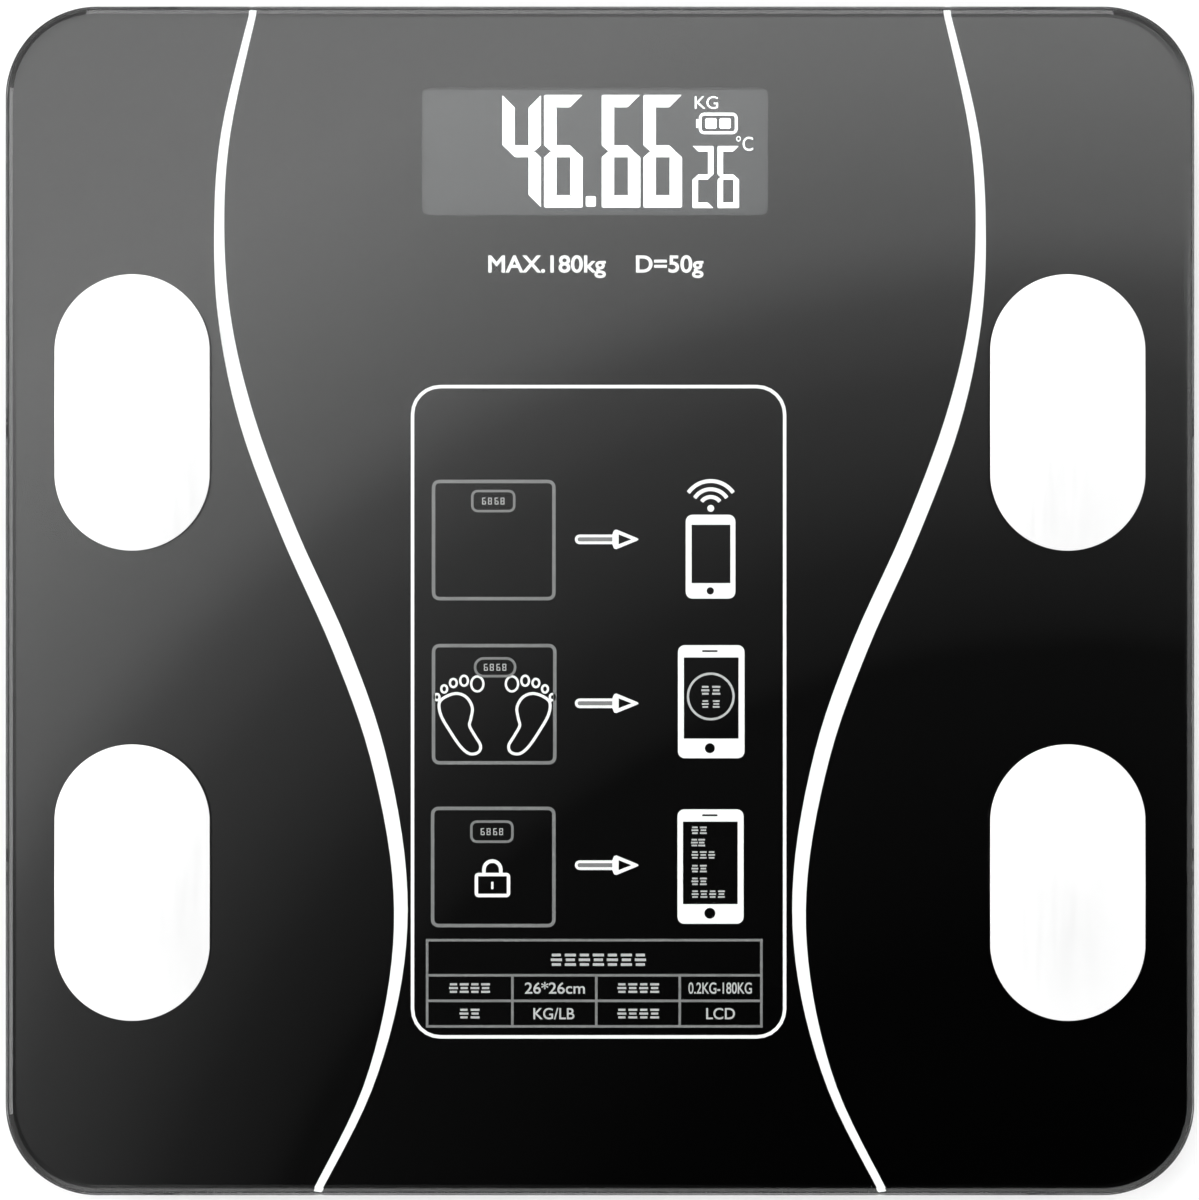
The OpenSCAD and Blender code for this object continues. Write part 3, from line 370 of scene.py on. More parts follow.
def makeBrushing():
    # long fine lines left by brushing or rolling
    group, into, out = newGroup(
        "brushLines",
        [("Along X", "Float", 60.0), ("Along Y", "Float", 1.5), ("Roughness", "Float", 0.3),
         ("Roughness Variation", "Float", 0.1)],
        [("Lines", "Float"), ("Roughness", "Float")],
    )
    place = addNode(group, "TexCoord").outputs["Object"]
    parts = addNode(group, "SeparateXYZ", {0: place})
    across = combine(group, "MULTIPLY", parts.outputs[0], into.outputs["Along X"])
    along = combine(group, "MULTIPLY", parts.outputs[1], into.outputs["Along Y"])
    stretched = addNode(group, "CombineXYZ", {0: across, 1: along, 2: parts.outputs[2]})
    lines = addNode(group, "TexNoise", {"Vector": stretched.outputs[0], "Scale": 100.0, "Detail": 4.0})
    centred = combine(group, "SUBTRACT", lines.outputs["Fac"], 0.5)
    rough = combine(group, "MULTIPLY_ADD", centred, into.outputs["Roughness Variation"],
                    into.outputs["Roughness"], use_clamp=True)
    group.links.new(lines.outputs["Fac"], out.inputs["Lines"])
    group.links.new(rough, out.inputs["Roughness"])
    return group


def makeEdgeWear():
    # lightened, slightly polished corners
    group, into, out = newGroup(
        "edgeWear",
        [("Color", "Color", (0.5, 0.5, 0.5, 1)), ("Worn Color", "Color", (0.8, 0.8, 0.8, 1)),
         ("Amount", "Float", 0.3)],
        [("Color", "Color")],
    )
    place = objectPlace(group)
    broken = addNode(group, "TexNoise", {"Vector": place, "Scale": 240.0, "Detail": 5.0})
    # near a corner the rounded normal leans away from the plain one
    rounded = addNode(group, "Bevel", {"Radius": 0.0004}, samples=4).outputs[0]
    plain = addNode(group, "NewGeometry").outputs["Normal"]
    lean = addNode(group, "VectorMath", {0: rounded, 1: plain}, operation="DOT_PRODUCT").outputs["Value"]
    sharp = addNode(group, "MapRange", {"Value": lean, "From Min": 0.995, "From Max": 0.85})
    patchy = combine(group, "MULTIPLY", sharp.outputs[0], broken.outputs["Fac"])
    mask = combine(group, "MULTIPLY", patchy, into.outputs["Amount"])
    mixed = blend(group, mask, into.outputs["Color"], into.outputs["Worn Color"])
    group.links.new(mixed, out.inputs["Color"])
    return group


grain = makeGrain()
brushing = makeBrushing()
edgeWear = makeEdgeWear()


def newFinish(name, values=None):
    material = bpy.data.materials.new(name)
    material.use_nodes = True
    tree = material.node_tree
    shader = tree.nodes["Principled BSDF"]
    for key, value in (values or {}).items():
        shader.inputs[key].default_value = value
    return material, tree, shader


def fillGroup(tree, group, links):
    return addNode(tree, "Group", links, node_tree=group)


def showSurface(tree, shader, surface):
    tree.links.new(surface.outputs["Color"], shader.inputs["Base Color"])
    tree.links.new(surface.outputs["Roughness"], shader.inputs["Roughness"])


def addBump(tree, shader, height, depth):
    bump = addNode(tree, "Bump", {"Height": height, "Distance": depth, "Strength": 1.0})
    tree.links.new(bump.outputs[0], shader.inputs["Normal"])


def mouldedFinish(name, color, roughness=0.5, variation=0.12, scale=900.0, depth=0.00002, worn=0.3,
                  specular=0.5, subsurface=0.0):
    material, tree, shader = newFinish(name, {"Specular IOR Level": specular})
    surface = fillGroup(tree, grain, {
        "Color": (*color, 1), "Variation": variation, "Roughness": roughness, "Roughness Variation": 0.12,
        "Scale": scale,
    })
    lighter = tuple(min(1.0, c * 1.5 + 0.05) for c in color)
    wear = fillGroup(tree, edgeWear, {"Color": surface.outputs["Color"], "Worn Color": (*lighter, 1), "Amount": worn})
    tree.links.new(wear.outputs["Color"], shader.inputs["Base Color"])
    tree.links.new(surface.outputs["Roughness"], shader.inputs["Roughness"])
    if subsurface:
        shader.inputs["Subsurface Weight"].default_value = subsurface
        shader.inputs["Subsurface Scale"].default_value = 0.002
    addBump(tree, shader, surface.outputs["Height"], depth)
    return material


def metalFinish(name, color, roughness=0.3, alongX=60.0, alongY=1.5, depth=0.000002, variation=0.12, spots=0.06):
    material, tree, shader = newFinish(name, {"Metallic": 1.0})
    lines = fillGroup(tree, brushing, {
        "Along X": alongX, "Along Y": alongY, "Roughness": roughness, "Roughness Variation": variation,
    })
    mottled = fillGroup(tree, grain, {
        "Color": (*color, 1), "Variation": spots, "Roughness": roughness, "Roughness Variation": 0.0,
        "Scale": 260.0,
    })
    worn = tuple(min(1.0, c * 1.15 + 0.03) for c in color)
    wear = fillGroup(tree, edgeWear, {"Color": mottled.outputs["Color"], "Worn Color": (*worn, 1), "Amount": 0.3})
    tree.links.new(wear.outputs["Color"], shader.inputs["Base Color"])
    tree.links.new(lines.outputs["Roughness"], shader.inputs["Roughness"])
    addBump(tree, shader, lines.outputs["Lines"], depth)
    return material


def clearFinish(name, color, ior=1.5, roughness=0.0):
    # clear glass that lets lamps shine straight through
    material, tree, shader = newFinish(name, {
        "Base Color": (*color, 1), "Roughness": roughness, "IOR": ior, "Transmission Weight": 1.0,
    })
    smears = addNode(tree, "TexNoise", {"Vector": objectPlace(tree), "Scale": 30.0, "Detail": 3.0})
    addBump(tree, shader, smears.outputs["Fac"], 0.000002)
    through = addNode(tree, "BsdfTransparent", {"Color": (*color, 1)})
    ray = addNode(tree, "LightPath")
    mix = addNode(tree, "MixShader", {0: ray.outputs["Is Shadow Ray"], 1: shader.outputs[0], 2: through.outputs[0]})
    tree.links.new(mix.outputs[0], tree.nodes["Material Output"].inputs["Surface"])
    return material


def printFinish(name, color, roughness=0.55):
    # screen-printed ink: flat, with a faint mesh grain
    material, tree, shader = newFinish(name, {"Specular IOR Level": 0.0})
    surface = fillGroup(tree, grain, {
        "Color": (*color, 1), "Variation": 0.03, "Roughness": roughness, "Roughness Variation": 0.08,
        "Scale": 2600.0,
    })
    showSurface(tree, shader, surface)
    return material


finishes = {
    "glass": clearFinish("temperedGlass", (0.955, 0.968, 0.962)),
    "blackInk": printFinish("blackInk", (0.0004, 0.0004, 0.0004)),
    "whiteInk": printFinish("whiteInk", (0.86, 0.86, 0.86)),
    "paleInk": printFinish("paleInk", (0.47, 0.47, 0.47)),
    "greyInk": printFinish("greyInk", (0.2, 0.2, 0.2)),
    "electrode": metalFinish("satinStainless", (0.87, 0.87, 0.87), 0.42, 8.0, 0.6, spots=0.02),
    "zinc": metalFinish("zincPlate", (0.74, 0.76, 0.79), 0.26, 6.0, 6.0, spots=0.16),
    "terminal": metalFinish("tinnedBrass", (0.8, 0.7, 0.45), 0.3, 9.0, 5.0, spots=0.14),
    "nickel": metalFinish("nickelPlate", (0.78, 0.77, 0.74), 0.22, 7.0, 3.0),
    "cell": metalFinish("stampedSteel", (0.62, 0.62, 0.63), 0.34, 20.0, 1.2, spots=0.12),
    "can": metalFinish("shieldCan", (0.7, 0.71, 0.72), 0.32, 14.0, 1.0),
    "wire": mouldedFinish("wireJacket", (0.5, 0.03, 0.025), 0.38, 0.08, 700.0, 0.000004, 0.1),
    "foam": mouldedFinish("closedCellFoam", (0.82, 0.82, 0.79), 0.9, 0.16, 2400.0, 0.00008, 0.0),
    "displayCell": mouldedFinish("displayFace", (0.05, 0.051, 0.053), 0.42, 0.03, 1600.0, 0.0, 0.0, specular=0.2),
    "lightGuide": mouldedFinish("frostedGuide", (0.88, 0.9, 0.93), 0.45, 0.04, 1500.0, 0.00001, 0.0,
                                subsurface=0.3),
    "whitePlastic": mouldedFinish("whiteMoulding", (0.8, 0.8, 0.78), 0.48, 0.06, 900.0, 0.00001, 0.1),
    "silicone": mouldedFinish("softSilicone", (0.78, 0.74, 0.72), 0.6, 0.08, 800.0, 0.00001, 0.0, subsurface=0.2),
    "chip": mouldedFinish("chipResin", (0.022, 0.022, 0.024), 0.5, 0.2, 2200.0, 0.00001, 0.2),
    "chipParts": mouldedFinish("ceramicParts", (0.36, 0.27, 0.18), 0.45, 0.35, 500.0, 0.00001, 0.3),
    "switch": mouldedFinish("switchMoulding", (0.04, 0.04, 0.042), 0.5, 0.1, 1200.0, 0.00001, 0.2),
    "tray": mouldedFinish("trayMoulding", (0.026, 0.026, 0.028), 0.52, 0.22, 1300.0, 0.00003, 0.25),
    "button": mouldedFinish("buttonMoulding", (0.2, 0.2, 0.21), 0.5, 0.12, 1300.0, 0.00002, 0.25),
    "bracket": mouldedFinish("filledMoulding", (0.62, 0.62, 0.6), 0.55, 0.12, 1000.0, 0.00002, 0.2),
    "rubber": mouldedFinish("footRubber", (0.05, 0.05, 0.052), 0.78, 0.25, 1500.0, 0.00004, 0.2),
}


def circuitBoardFinish():
    # solder mask with copper tracks under it
    material, tree, shader = newFinish("solderMask")
    place = objectPlace(tree)
    tracks = addNode(tree, "TexVoronoi", {"Vector": place, "Scale": 260.0, "Randomness": 0.35},
                     distance="CHEBYCHEV", feature="F1")
    edge = addNode(tree, "MapRange", {"Value": tracks.outputs["Distance"], "From Min": 0.3, "From Max": 0.36})
    mask = blend(tree, edge.outputs[0], (0.012, 0.13, 0.055, 1), (0.02, 0.2, 0.09, 1))
    surface = fillGroup(tree, grain, {"Color": mask, "Variation": 0.1, "Roughness": 0.32, "Scale": 700.0})
    showSurface(tree, shader, surface)
    addBump(tree, shader, edge.outputs[0], 0.00002)
    return material


batterySizes = {"band": 0.0128, "buttonEnd": 0.0212, "flatEnd": -0.0221}


def batteryFinish(name, toButton):
    # printed jacket with a gold band at the button end, and bare plated caps
    material, tree, shader = newFinish(name + "Jacket", {"Metallic": 1.0})
    low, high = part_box(name)
    parts = addNode(tree, "SeparateXYZ", {0: addNode(tree, "TexCoord").outputs["Object"]})
    along = combine(tree, "MULTIPLY_ADD", parts.outputs[0], toButton, -toButton * (low.x + high.x) / 2)
    band = combine(tree, "GREATER_THAN", along, batterySizes["band"])
    jacket = blend(tree, band, (0.03, 0.05, 0.1, 1), (0.62, 0.4, 0.14, 1))
    button = combine(tree, "GREATER_THAN", along, batterySizes["buttonEnd"])
    flat = combine(tree, "LESS_THAN", along, batterySizes["flatEnd"])
    color = blend(tree, combine(tree, "MAXIMUM", button, flat), jacket, (0.75, 0.75, 0.74, 1))
    surface = fillGroup(tree, grain, {"Color": color, "Variation": 0.08, "Roughness": 0.28, "Scale": 500.0})
    showSurface(tree, shader, surface)
    addBump(tree, shader, surface.outputs["Height"], 0.000004)
    return material


def litFinish():
    # a lit display segment
    material, tree, shader = newFinish("litSegment", {"Emission Strength": displaySizes["glow"]})
    surface = fillGroup(tree, grain, {
        "Color": (0.98, 0.99, 1.0, 1), "Variation": 0.03, "Roughness": 0.5, "Scale": 1800.0,
    })
    showSurface(tree, shader, surface)
    tree.links.new(surface.outputs["Color"], shader.inputs["Emission Color"])
    return material


glassSizes = {"corner": 20, "bandWide": 0.8, "facetWide": 0.8, "facetDrop": 0.25, "arris": 0.14, "ridge": 0.1,
              "under": 0.4}


def makeGlass():
    low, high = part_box("glass_platform")
    side = high.x - low.x
    bpy.ops.mesh.primitive_cube_add(size=1, location=(low + high) / 2)
    obj = startPiece("glassPlate")
    obj.dimensions = high - low
    settle(obj)
    choose(obj, "EDGE", lambda edge: isUpright(obj, edge))
    bpy.ops.mesh.bevel(offset=glassSizes["corner"] * mm, segments=40, offset_type="OFFSET")
    # underside arris
    choose(obj, "EDGE", lambda edge: liesAt(obj, edge, low.z))
    bpy.ops.mesh.bevel(offset=glassSizes["under"] * mm, segments=2)
    # top: the shallow facet is inset from the outer band, then the band is dropped
    choose(obj, "FACE", lambda face: face.normal.z > 0.99)
    bpy.ops.mesh.inset(thickness=glassSizes["bandWide"] * mm)
    bpy.ops.mesh.inset(thickness=glassSizes["facetWide"] * mm)
    bpy.ops.object.mode_set(mode="OBJECT")
    middle = side / 2
    corner = glassSizes["corner"] * mm
    for vertex in obj.data.vertices:
        if vertex.co.z < high.z - 1e-6:
            continue
        x, y = abs(vertex.co.x), abs(vertex.co.y)
        run = middle - corner
        reach = math.hypot(max(x - run, 0), max(y - run, 0)) if x > run and y > run else max(x, y) - run
        inside = corner - reach
        if inside < (glassSizes["bandWide"] + 0.1) * mm:
            vertex.co.z = high.z - glassSizes["facetDrop"] * mm
    # soften the outer arris, then the two ridges of the polish
    for limit, wide, steps in ((60, glassSizes["arris"], 3), (12, glassSizes["ridge"], 2)):
        bevelSharp(obj, limit, wide, steps)
    cleanUp(obj)
    smoothEdges(obj, 50)
    flattenFaces(obj, 0.01)
    finishPiece(obj, finishes["glass"], "scale_body", "tempered_glass", "glass_platform")


electrodeSizes = {"edge": 0.14, "studRadius": 1.5, "studEdge": 0.3, "segments": 96}


def makeElectrodes():
    low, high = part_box("electrode_toe_right")
    width = high.x - low.x
    length = high.y - low.y
    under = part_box("glass_platform")[1].z
    centre = (low + high) / 2
    bpy.ops.mesh.primitive_cylinder_add(
        vertices=electrodeSizes["segments"], radius=width / 2, depth=high.z - under,
        location=(0, 0, (high.z + under) / 2), end_fill_type="NGON",
    )
    plate = startPiece("electrodePlate")
    settle(plate)
    # stretch the disc into a stadium
    for sign in (1, -1):
        choose(plate, "VERT", lambda vertex: vertex.co.y * sign > 1e-6)
        bpy.ops.transform.translate(value=(0, sign * (length - width) / 2, 0))
        bpy.ops.object.mode_set(mode="OBJECT")
    choose(plate, "EDGE", lambda edge: liesAt(plate, edge, high.z))
    bpy.ops.mesh.bevel(offset=electrodeSizes["edge"] * mm, segments=3, offset_type="OFFSET")
    bpy.ops.object.mode_set(mode="OBJECT")
    bpy.ops.mesh.primitive_cylinder_add(
        vertices=32, radius=electrodeSizes["studRadius"] * mm, depth=under - low.z,
        location=(0, 0, (under + low.z) / 2),
    )
    stud = startPiece("electrodeStud")
    settle(stud)
    choose(stud, "EDGE", lambda edge: liesAt(stud, edge, low.z))
    bpy.ops.mesh.bevel(offset=electrodeSizes["studEdge"] * mm, segments=2)
    bpy.ops.object.mode_set(mode="OBJECT")
    first = joinPieces("electrodePlate", [plate, stud])
    for corner in corners:
        low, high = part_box("electrode_" + corner)
        twin = copyOf(first, "electrodePlate." + corner)
        twin.location = ((low.x + high.x) / 2, (low.y + high.y) / 2, 0)
        settle(twin)
        smoothEdges(twin, 40)
        finishPiece(twin, finishes["electrode"], "scale_body", "electrode_steel", "electrode_" + corner)
    bpy.data.objects.remove(first)


artSizes = {"low": 18.91, "high": 18.95}


def artPiece(name, loops, ink):
    obj = drawFlat(name, loops, artSizes["low"], artSizes["high"])
    finishPiece(obj, finishes[ink], "scale_body", "back_print")


def artLetters(name, words, left, right, base, capHeight, ink, weight=0.0):
    obj = lettering(name, words, left, right, base, capHeight, artSizes["low"], artSizes["high"], weight)
    finishPiece(obj, finishes[ink], "scale_body", "back_print")


# the right-hand guide curve, from the top down: x, y and width
guidePoints = [
    (76, 129.3, 1.5), (82, 103, 2.0), (83.5, 82, 2.2), (82.2, 61, 2.8), (77.2, 39, 3.5), (68.2, 15, 3.6),
    (57, -10, 3.7), (48.8, -33.5, 3.5), (44, -60, 3.1), (44.8, -83, 2.7), (51, -107, 2.0), (62, -129.3, 1.7),
]


def makeGuides():
    for side, sign in (("left", -1), ("right", 1)):
        path = smoothPath([(sign * x, y, w) for x, y, w in guidePoints])
        artPiece("guideCurve." + side, strokeLoops([p[:2] for p in path], [p[2] for p in path]), "whiteInk")


panelSizes = {"left": -41.1, "right": 40.5, "bottom": -95.6, "top": 47.0, "corner": 6.1, "line": 0.75}
outlineSizes = {"line": 0.75, "corner": 1.3, "pillLine": 0.55}
pillFigures = {"start": -2.45, "pitch": 1.3, "split": 0.15, "wide": 0.85, "high": 1.5, "stroke": 0.2, "gap": 0.02}
scaleOutlines = [
    # left, right, bottom, top, then its display pill: left, right, bottom, top, corner
    (-36.5, -10.1, 0.5, 26.2, -28.0, -18.8, 19.7, 24.1, 1.2),
    (-36.5, -9.9, -35.5, -9.8, -27.4, -18.6, -16.5, -12.6, 1.9),
    (-36.7, -10.1, -71.2, -45.5, -28.2, -19.2, -52.8, -48.4, 1.2),
]
arrowRows = [13.5, -22.45, -57.95]
arrowSizes = {"half": 1.05, "head": 2.15, "tail": -4.45, "neck": 2.7, "tip": 8.5, "line": 0.6}
phones = [
    # left, right, bottom, top, screen left, right, bottom, top, home button x, y, radius
    (18.8, 29.7, 0.5, 18.9, 20.1, 28.6, 3.9, 16.7, 24.2, 2.2, 0.8),
    (17.1, 31.7, -34.5, -9.7, 18.4, 30.4, -30.2, -12.4, 24.1, -32.3, 1.1),
    (17.0, 31.5, -70.8, -45.7, 18.2, 30.2, -66.5, -48.4, 24.1, -68.5, 1.2),
]


def digitLoops(pattern, left, base, wide, high, stroke, gap=0.1):
    # seven-segment figure; the pattern lists the lit segments a to g
    s, h, w = stroke, high, wide
    m = h / 2
    g = gap
    shapes = {
        "a": [(g, h), (w - g, h), (w - s - g, h - s), (s + g, h - s)],
        "b": [(w, h - g), (w, m + s / 2), (w - s / 2, m + g), (w - s, m + s / 2), (w - s, h - s - g)],
        "c": [(w, g), (w - s, s + g), (w - s, m - s / 2), (w - s / 2, m - g), (w, m - s / 2)],
        "d": [(g, 0), (s + g, s), (w - s - g, s), (w - g, 0)],
        "e": [(0, g), (0, m - s / 2), (s / 2, m - g), (s, m - s / 2), (s, s + g)],
        "f": [(0, h - g), (s, h - s - g), (s, m + s / 2), (s / 2, m + g), (0, m + s / 2)],
        "g": [(s / 2 + g, m), (s + g, m + s / 2 - g / 2), (w - s - g, m + s / 2 - g / 2), (w - s / 2 - g, m),
              (w - s - g, m - s / 2 + g / 2), (s + g, m - s / 2 + g / 2)],
    }
    return [[(left + x, base + y) for x, y in shapes[key]] for key in pattern]


def glyphLoops(x, y, size, kind):
    # a blurred-out word is shown by small hatch marks, not by letters
    line = size * 0.2
    marks = []
    for row in range(3):
        level = y + (row - 1) * size * 0.36
        half = size * (0.42 if (row + kind) % 2 else 0.34)
        marks.append(boxLoop(x - half, x + half, level - line / 2, level + line / 2))
    return marks


def wordLoops(left, right, y, size):
    count = max(2, round((right - left) / (size * 1.12)))
    step = (right - left) / count
    loops = []
    for i in range(count):
        loops += glyphLoops(left + step * (i + 0.5), y, size, i)
    return loops


def arrowLoops(y):
    # a rounded shaft and a long head, each with an opening inside its line
    a = arrowSizes
    half, line, tail, neck, tip, head = a["half"], a["line"], a["tail"], a["neck"], a["tip"], a["head"]
    upper = [(tip, y), (tip - 0.4, y + 0.3), (neck + 0.9, y + head), (neck + 0.4, y + head - 0.15), (neck, y + half)]
    lower = [(x, 2 * y - level) for x, level in upper[:0:-1]]
    shaft = arcPath(tail, y, half - line, 90, 270, 8) + [(neck, y - half + line), (neck, y + half - line)]
    opening = [(neck + 1.4, y - 1.1), (tip - 1.6, y), (neck + 1.4, y + 1.1)]
    return [arcPath(tail, y, half, 90, 270, 8) + lower + upper, shaft, opening], shaft


footShape = {
    "sole": [(-35.2, -22.3), (-33.6, -20.9), (-31.3, -20.3), (-29.2, -21.2), (-28.0, -23.4), (-28.3, -25.8),
             (-28.6, -27.4), (-27.4, -29.6), (-26.2, -31.7), (-26.7, -33.2), (-28.6, -33.5), (-30.6, -31.9),
             (-33.0, -28.4), (-34.9, -25.0)],
    "toes": [(-26.9, -18.2, 1.35, 1.65), (-29.8, -17.5, 0.85, 1.1), (-32.15, -18.0, 0.75, 0.9),
             (-34.15, -19.3, 0.65, 0.8), (-35.75, -21.1, 0.55, 0.68)],
    "line": 0.62,
}


def footLoops(mirrorAt=None):
    flip = (lambda x: 2 * mirrorAt - x) if mirrorAt is not None else (lambda x: x)
    sole = smoothPath([(flip(x), y) for x, y in footShape["sole"]], closed=True, steps=5)
    loops = strokeLoops(sole, footShape["line"], closed=True)
    for x, y, across, up in footShape["toes"]:
        turns = [i * math.pi / 10 for i in range(20)]
        toe = [(flip(x) + across * math.cos(turn), y + up * math.sin(turn)) for turn in turns]
        loops += strokeLoops(toe, footShape["line"] * 0.8, closed=True)
    return loops


def makePanel():
    p = panelSizes
    border = roundedRing(p["left"], p["right"], p["bottom"], p["top"], p["corner"], p["line"])
    artPiece("panelFrame", border, "whiteInk")
    outlines, pills, marks = [], [], []
    for x0, x1, y0, y1, a, b, c, d, r in scaleOutlines:
        outlines += roundedRing(x0, x1, y0, y1, outlineSizes["corner"], outlineSizes["line"])
        pills += roundedRing(a, b, c, d, r, outlineSizes["pillLine"])
        f = pillFigures
        for i in range(4):
            left = (a + b) / 2 + f["start"] + i * f["pitch"] + (f["split"] if i > 1 else 0)
            base = (c + d) / 2 - f["high"] / 2
            pattern = "abcdefg" if i % 2 else "acdefg"
            marks += digitLoops(pattern, left, base, f["wide"], f["high"], f["stroke"], f["gap"])
    artPiece("scaleOutlines", outlines, "greyInk")
    artPiece("pillOutlines", pills, "greyInk")
    artPiece("pillFigures", marks, "paleInk")
    arrows, shafts = [], []
    for y in arrowRows:
        outline, shaft = arrowLoops(y)
        arrows += outline
        shafts.append(shaft)
    artPiece("arrowOutlines", arrows, "whiteInk")
    artPiece("arrowShafts", shafts, "greyInk")


phoneSizes = {"corner": 1.5, "slotHalf": 1.7, "slotTop": 1.1, "slotHigh": 0.4, "slotCorner": 0.18}
waveSizes = {"x": 24.3, "y": 20.3, "dot": 0.75, "line": 0.85, "arcs": [(2.5, 53), (4.2, 57), (6.0, 55)]}
dialSizes = {"x": 24.3, "y": -20.95, "radius": 5.0, "line": 0.5, "columns": [23.1, 25.5],
             "rows": [(-19.6, 2.1), (-22.6, 1.8)]}
listSizes = {"left": 19.9, "size": 1.75, "rows": [
    (-50.3, 23.6), (-53.0, 23.1), (-55.7, 25.4), (-58.7, 23.6), (-61.5, 23.6), (-64.3, 27.6),
]}


def makePhones():
    p, w, d = phoneSizes, waveSizes, dialSizes
    bodies = []
    for i, (x0, x1, y0, y1, a, b, c, e, hx, hy, r) in enumerate(phones):
        bodies += [roundedLoop(x0, x1, y0, y1, p["corner"]), boxLoop(a, b, c, e), discLoop(hx, hy, r)]
        if i:
            top = y1 - p["slotTop"]
            bodies.append(roundedLoop(hx - p["slotHalf"], hx + p["slotHalf"], top - p["slotHigh"], top,
                                      p["slotCorner"], 3))
    artPiece("phoneBodies", bodies, "whiteInk")
    waves = [discLoop(w["x"], w["y"], w["dot"])]
    for radius, spread in w["arcs"]:
        waves += strokeLoops(arcPath(w["x"], w["y"], radius, 90 - spread, 90 + spread), w["line"])
    artPiece("wirelessArcs", waves, "whiteInk")
    dial = discRing(d["x"], d["y"], d["radius"], d["line"])
    for level, size in d["rows"]:
        for kind, x in enumerate(d["columns"]):
            dial += glyphLoops(x, level, size, kind)
    artPiece("phoneDial", dial, "paleInk")
    rows = []
    for y, right in listSizes["rows"]:
        rows += wordLoops(listSizes["left"], right, y, listSizes["size"])
    artPiece("phoneList", rows, "paleInk")


footMirror = -23.1
lockSizes = {"left": -27.1, "right": -20.05, "bottom": -64.6, "top": -60.0, "corner": 0.5, "line": 0.75}
shackleSizes = {"x": -23.6, "y": -58.9, "radius": 1.85, "foot": -59.7, "line": 0.8}
keyhole = (-23.85, -23.35, -63.2, -61.6)


def makeFeetAndLock():
    artPiece("footprints", footLoops() + footLoops(mirrorAt=footMirror), "whiteInk")
    k, h = lockSizes, shackleSizes
    lock = roundedRing(k["left"], k["right"], k["bottom"], k["top"], k["corner"], k["line"])
    shackle = [(h["x"] - h["radius"], h["foot"])] + arcPath(h["x"], h["y"], h["radius"], 180, 0, 10)
    shackle.append((h["x"] + h["radius"], h["foot"]))
    lock += strokeLoops(shackle, h["line"])
    lock.append(boxLoop(*keyhole))
    artPiece("padlockMark", lock, "whiteInk")


tableSizes = {"left": -37.9, "right": 35.4, "bottom": -93.3, "top": -74.4, "line": 0.55,
              "rows": [-82.1, -87.7], "columns": [-19.2, -0.8, 17.5], "wordSize": 2.3, "capital": 2.4, "weight": 0.01}
tableTitle = (-11.1, 10.4, -78.7, 2.9)  # left, right, level, size
tableWords = [(-28.6, 0, 9.4), (-28.6, 1, 4.9), (8.4, 0, 9.6), (8.4, 1, 9.6)]  # middle, row, width
tableLetters = [
    ("tableSize", "26*26cm", -16.5, -3.3, 0), ("tableUnits", "KG/LB", -14.6, -5.6, 1),
    ("tableRange", "0.2KG-180KG", 19.4, 33.3, 0), ("tableDisplay", "LCD", 23.3, 29.6, 1),
]


def makeTable():
    t = tableSizes
    half = t["line"] / 2
    lefts = [t["left"], *t["columns"]]
    rights = [*t["columns"], t["right"]]
    cells = [(t["left"], t["right"], t["rows"][0], t["top"])]
    for low, high in ((t["rows"][1], t["rows"][0]), (t["bottom"], t["rows"][1])):
        cells += [(a, b, low, high) for a, b in zip(lefts, rights)]
    loops = [boxLoop(t["left"] - half, t["right"] + half, t["bottom"] - half, t["top"] + half)]
    loops += [boxLoop(a + half, b - half, c + half, d - half) for a, b, c, d in cells]
    artPiece("tableLines", loops, "greyInk")
    middle = [(t["rows"][0] + t["rows"][1]) / 2, (t["rows"][1] + t["bottom"]) / 2]
    words = wordLoops(*tableTitle)
    for column, row, wide in tableWords:
        words += wordLoops(column - wide / 2, column + wide / 2, middle[row], t["wordSize"])
    artPiece("tableWords", words, "paleInk")
    for name, text, left, right, row in tableLetters:
        artLetters(name, text, left, right, middle[row] - t["capital"] / 2, t["capital"], "paleInk", t["weight"])


ratingSizes = {"base": 72.1, "capital": 3.6, "weight": 0.02}


def makeRating():
    r = ratingSizes
    for name, text, left, right in (
        ("ratingCapacity", "MAX.180kg", -24.5, 1.3), ("ratingDivision", "D=50g", 7.9, 22.7),
    ):
        artLetters(name, text, left, right, r["base"], r["capital"], "whiteInk", r["weight"])


displaySizes = {"low": 18.43, "high": 18.47, "glow": 0.55, "stroke": 2.7, "base": 86.3, "tall": 24.7, "wide": 8.45,
                "point": (-3.1, -0.9, 86.5, 88.8, 0.4)}
bigFigures = [("bcfg", -21.4), ("acdefg", -12.25), ("acdefg", 0.4), ("acdefg", 9.55)]
smallSizes = {"base": 86.2, "tall": 13.6, "stroke": 1.2, "gap": 0.06,
              "figures": [("abged", 20.3, 4.6), ("acdefg", 25.8, 4.7)]}
batteryMark = {"case": (22.0, 29.9, 102.7, 106.8, 0.9, 0.6), "bars": [(23.1, 25.6), (26.2, 28.7)],
               "barLow": 103.6, "barHigh": 105.9, "barCorner": 0.4, "tip": (21.1, 21.6, 103.8, 105.7, 0.15)}
displayLetters = [("weightUnit", "KG", 20.8, 25.9, 108.0, 2.7), ("temperatureUnit", "°C", 29.9, 33.6, 98.8, 3.0)]


def displayPiece(name, loops):
    obj = drawFlat(name, loops, displaySizes["low"], displaySizes["high"])
    finishPiece(obj, finishes["lit"], "scale_body", "display_glass")


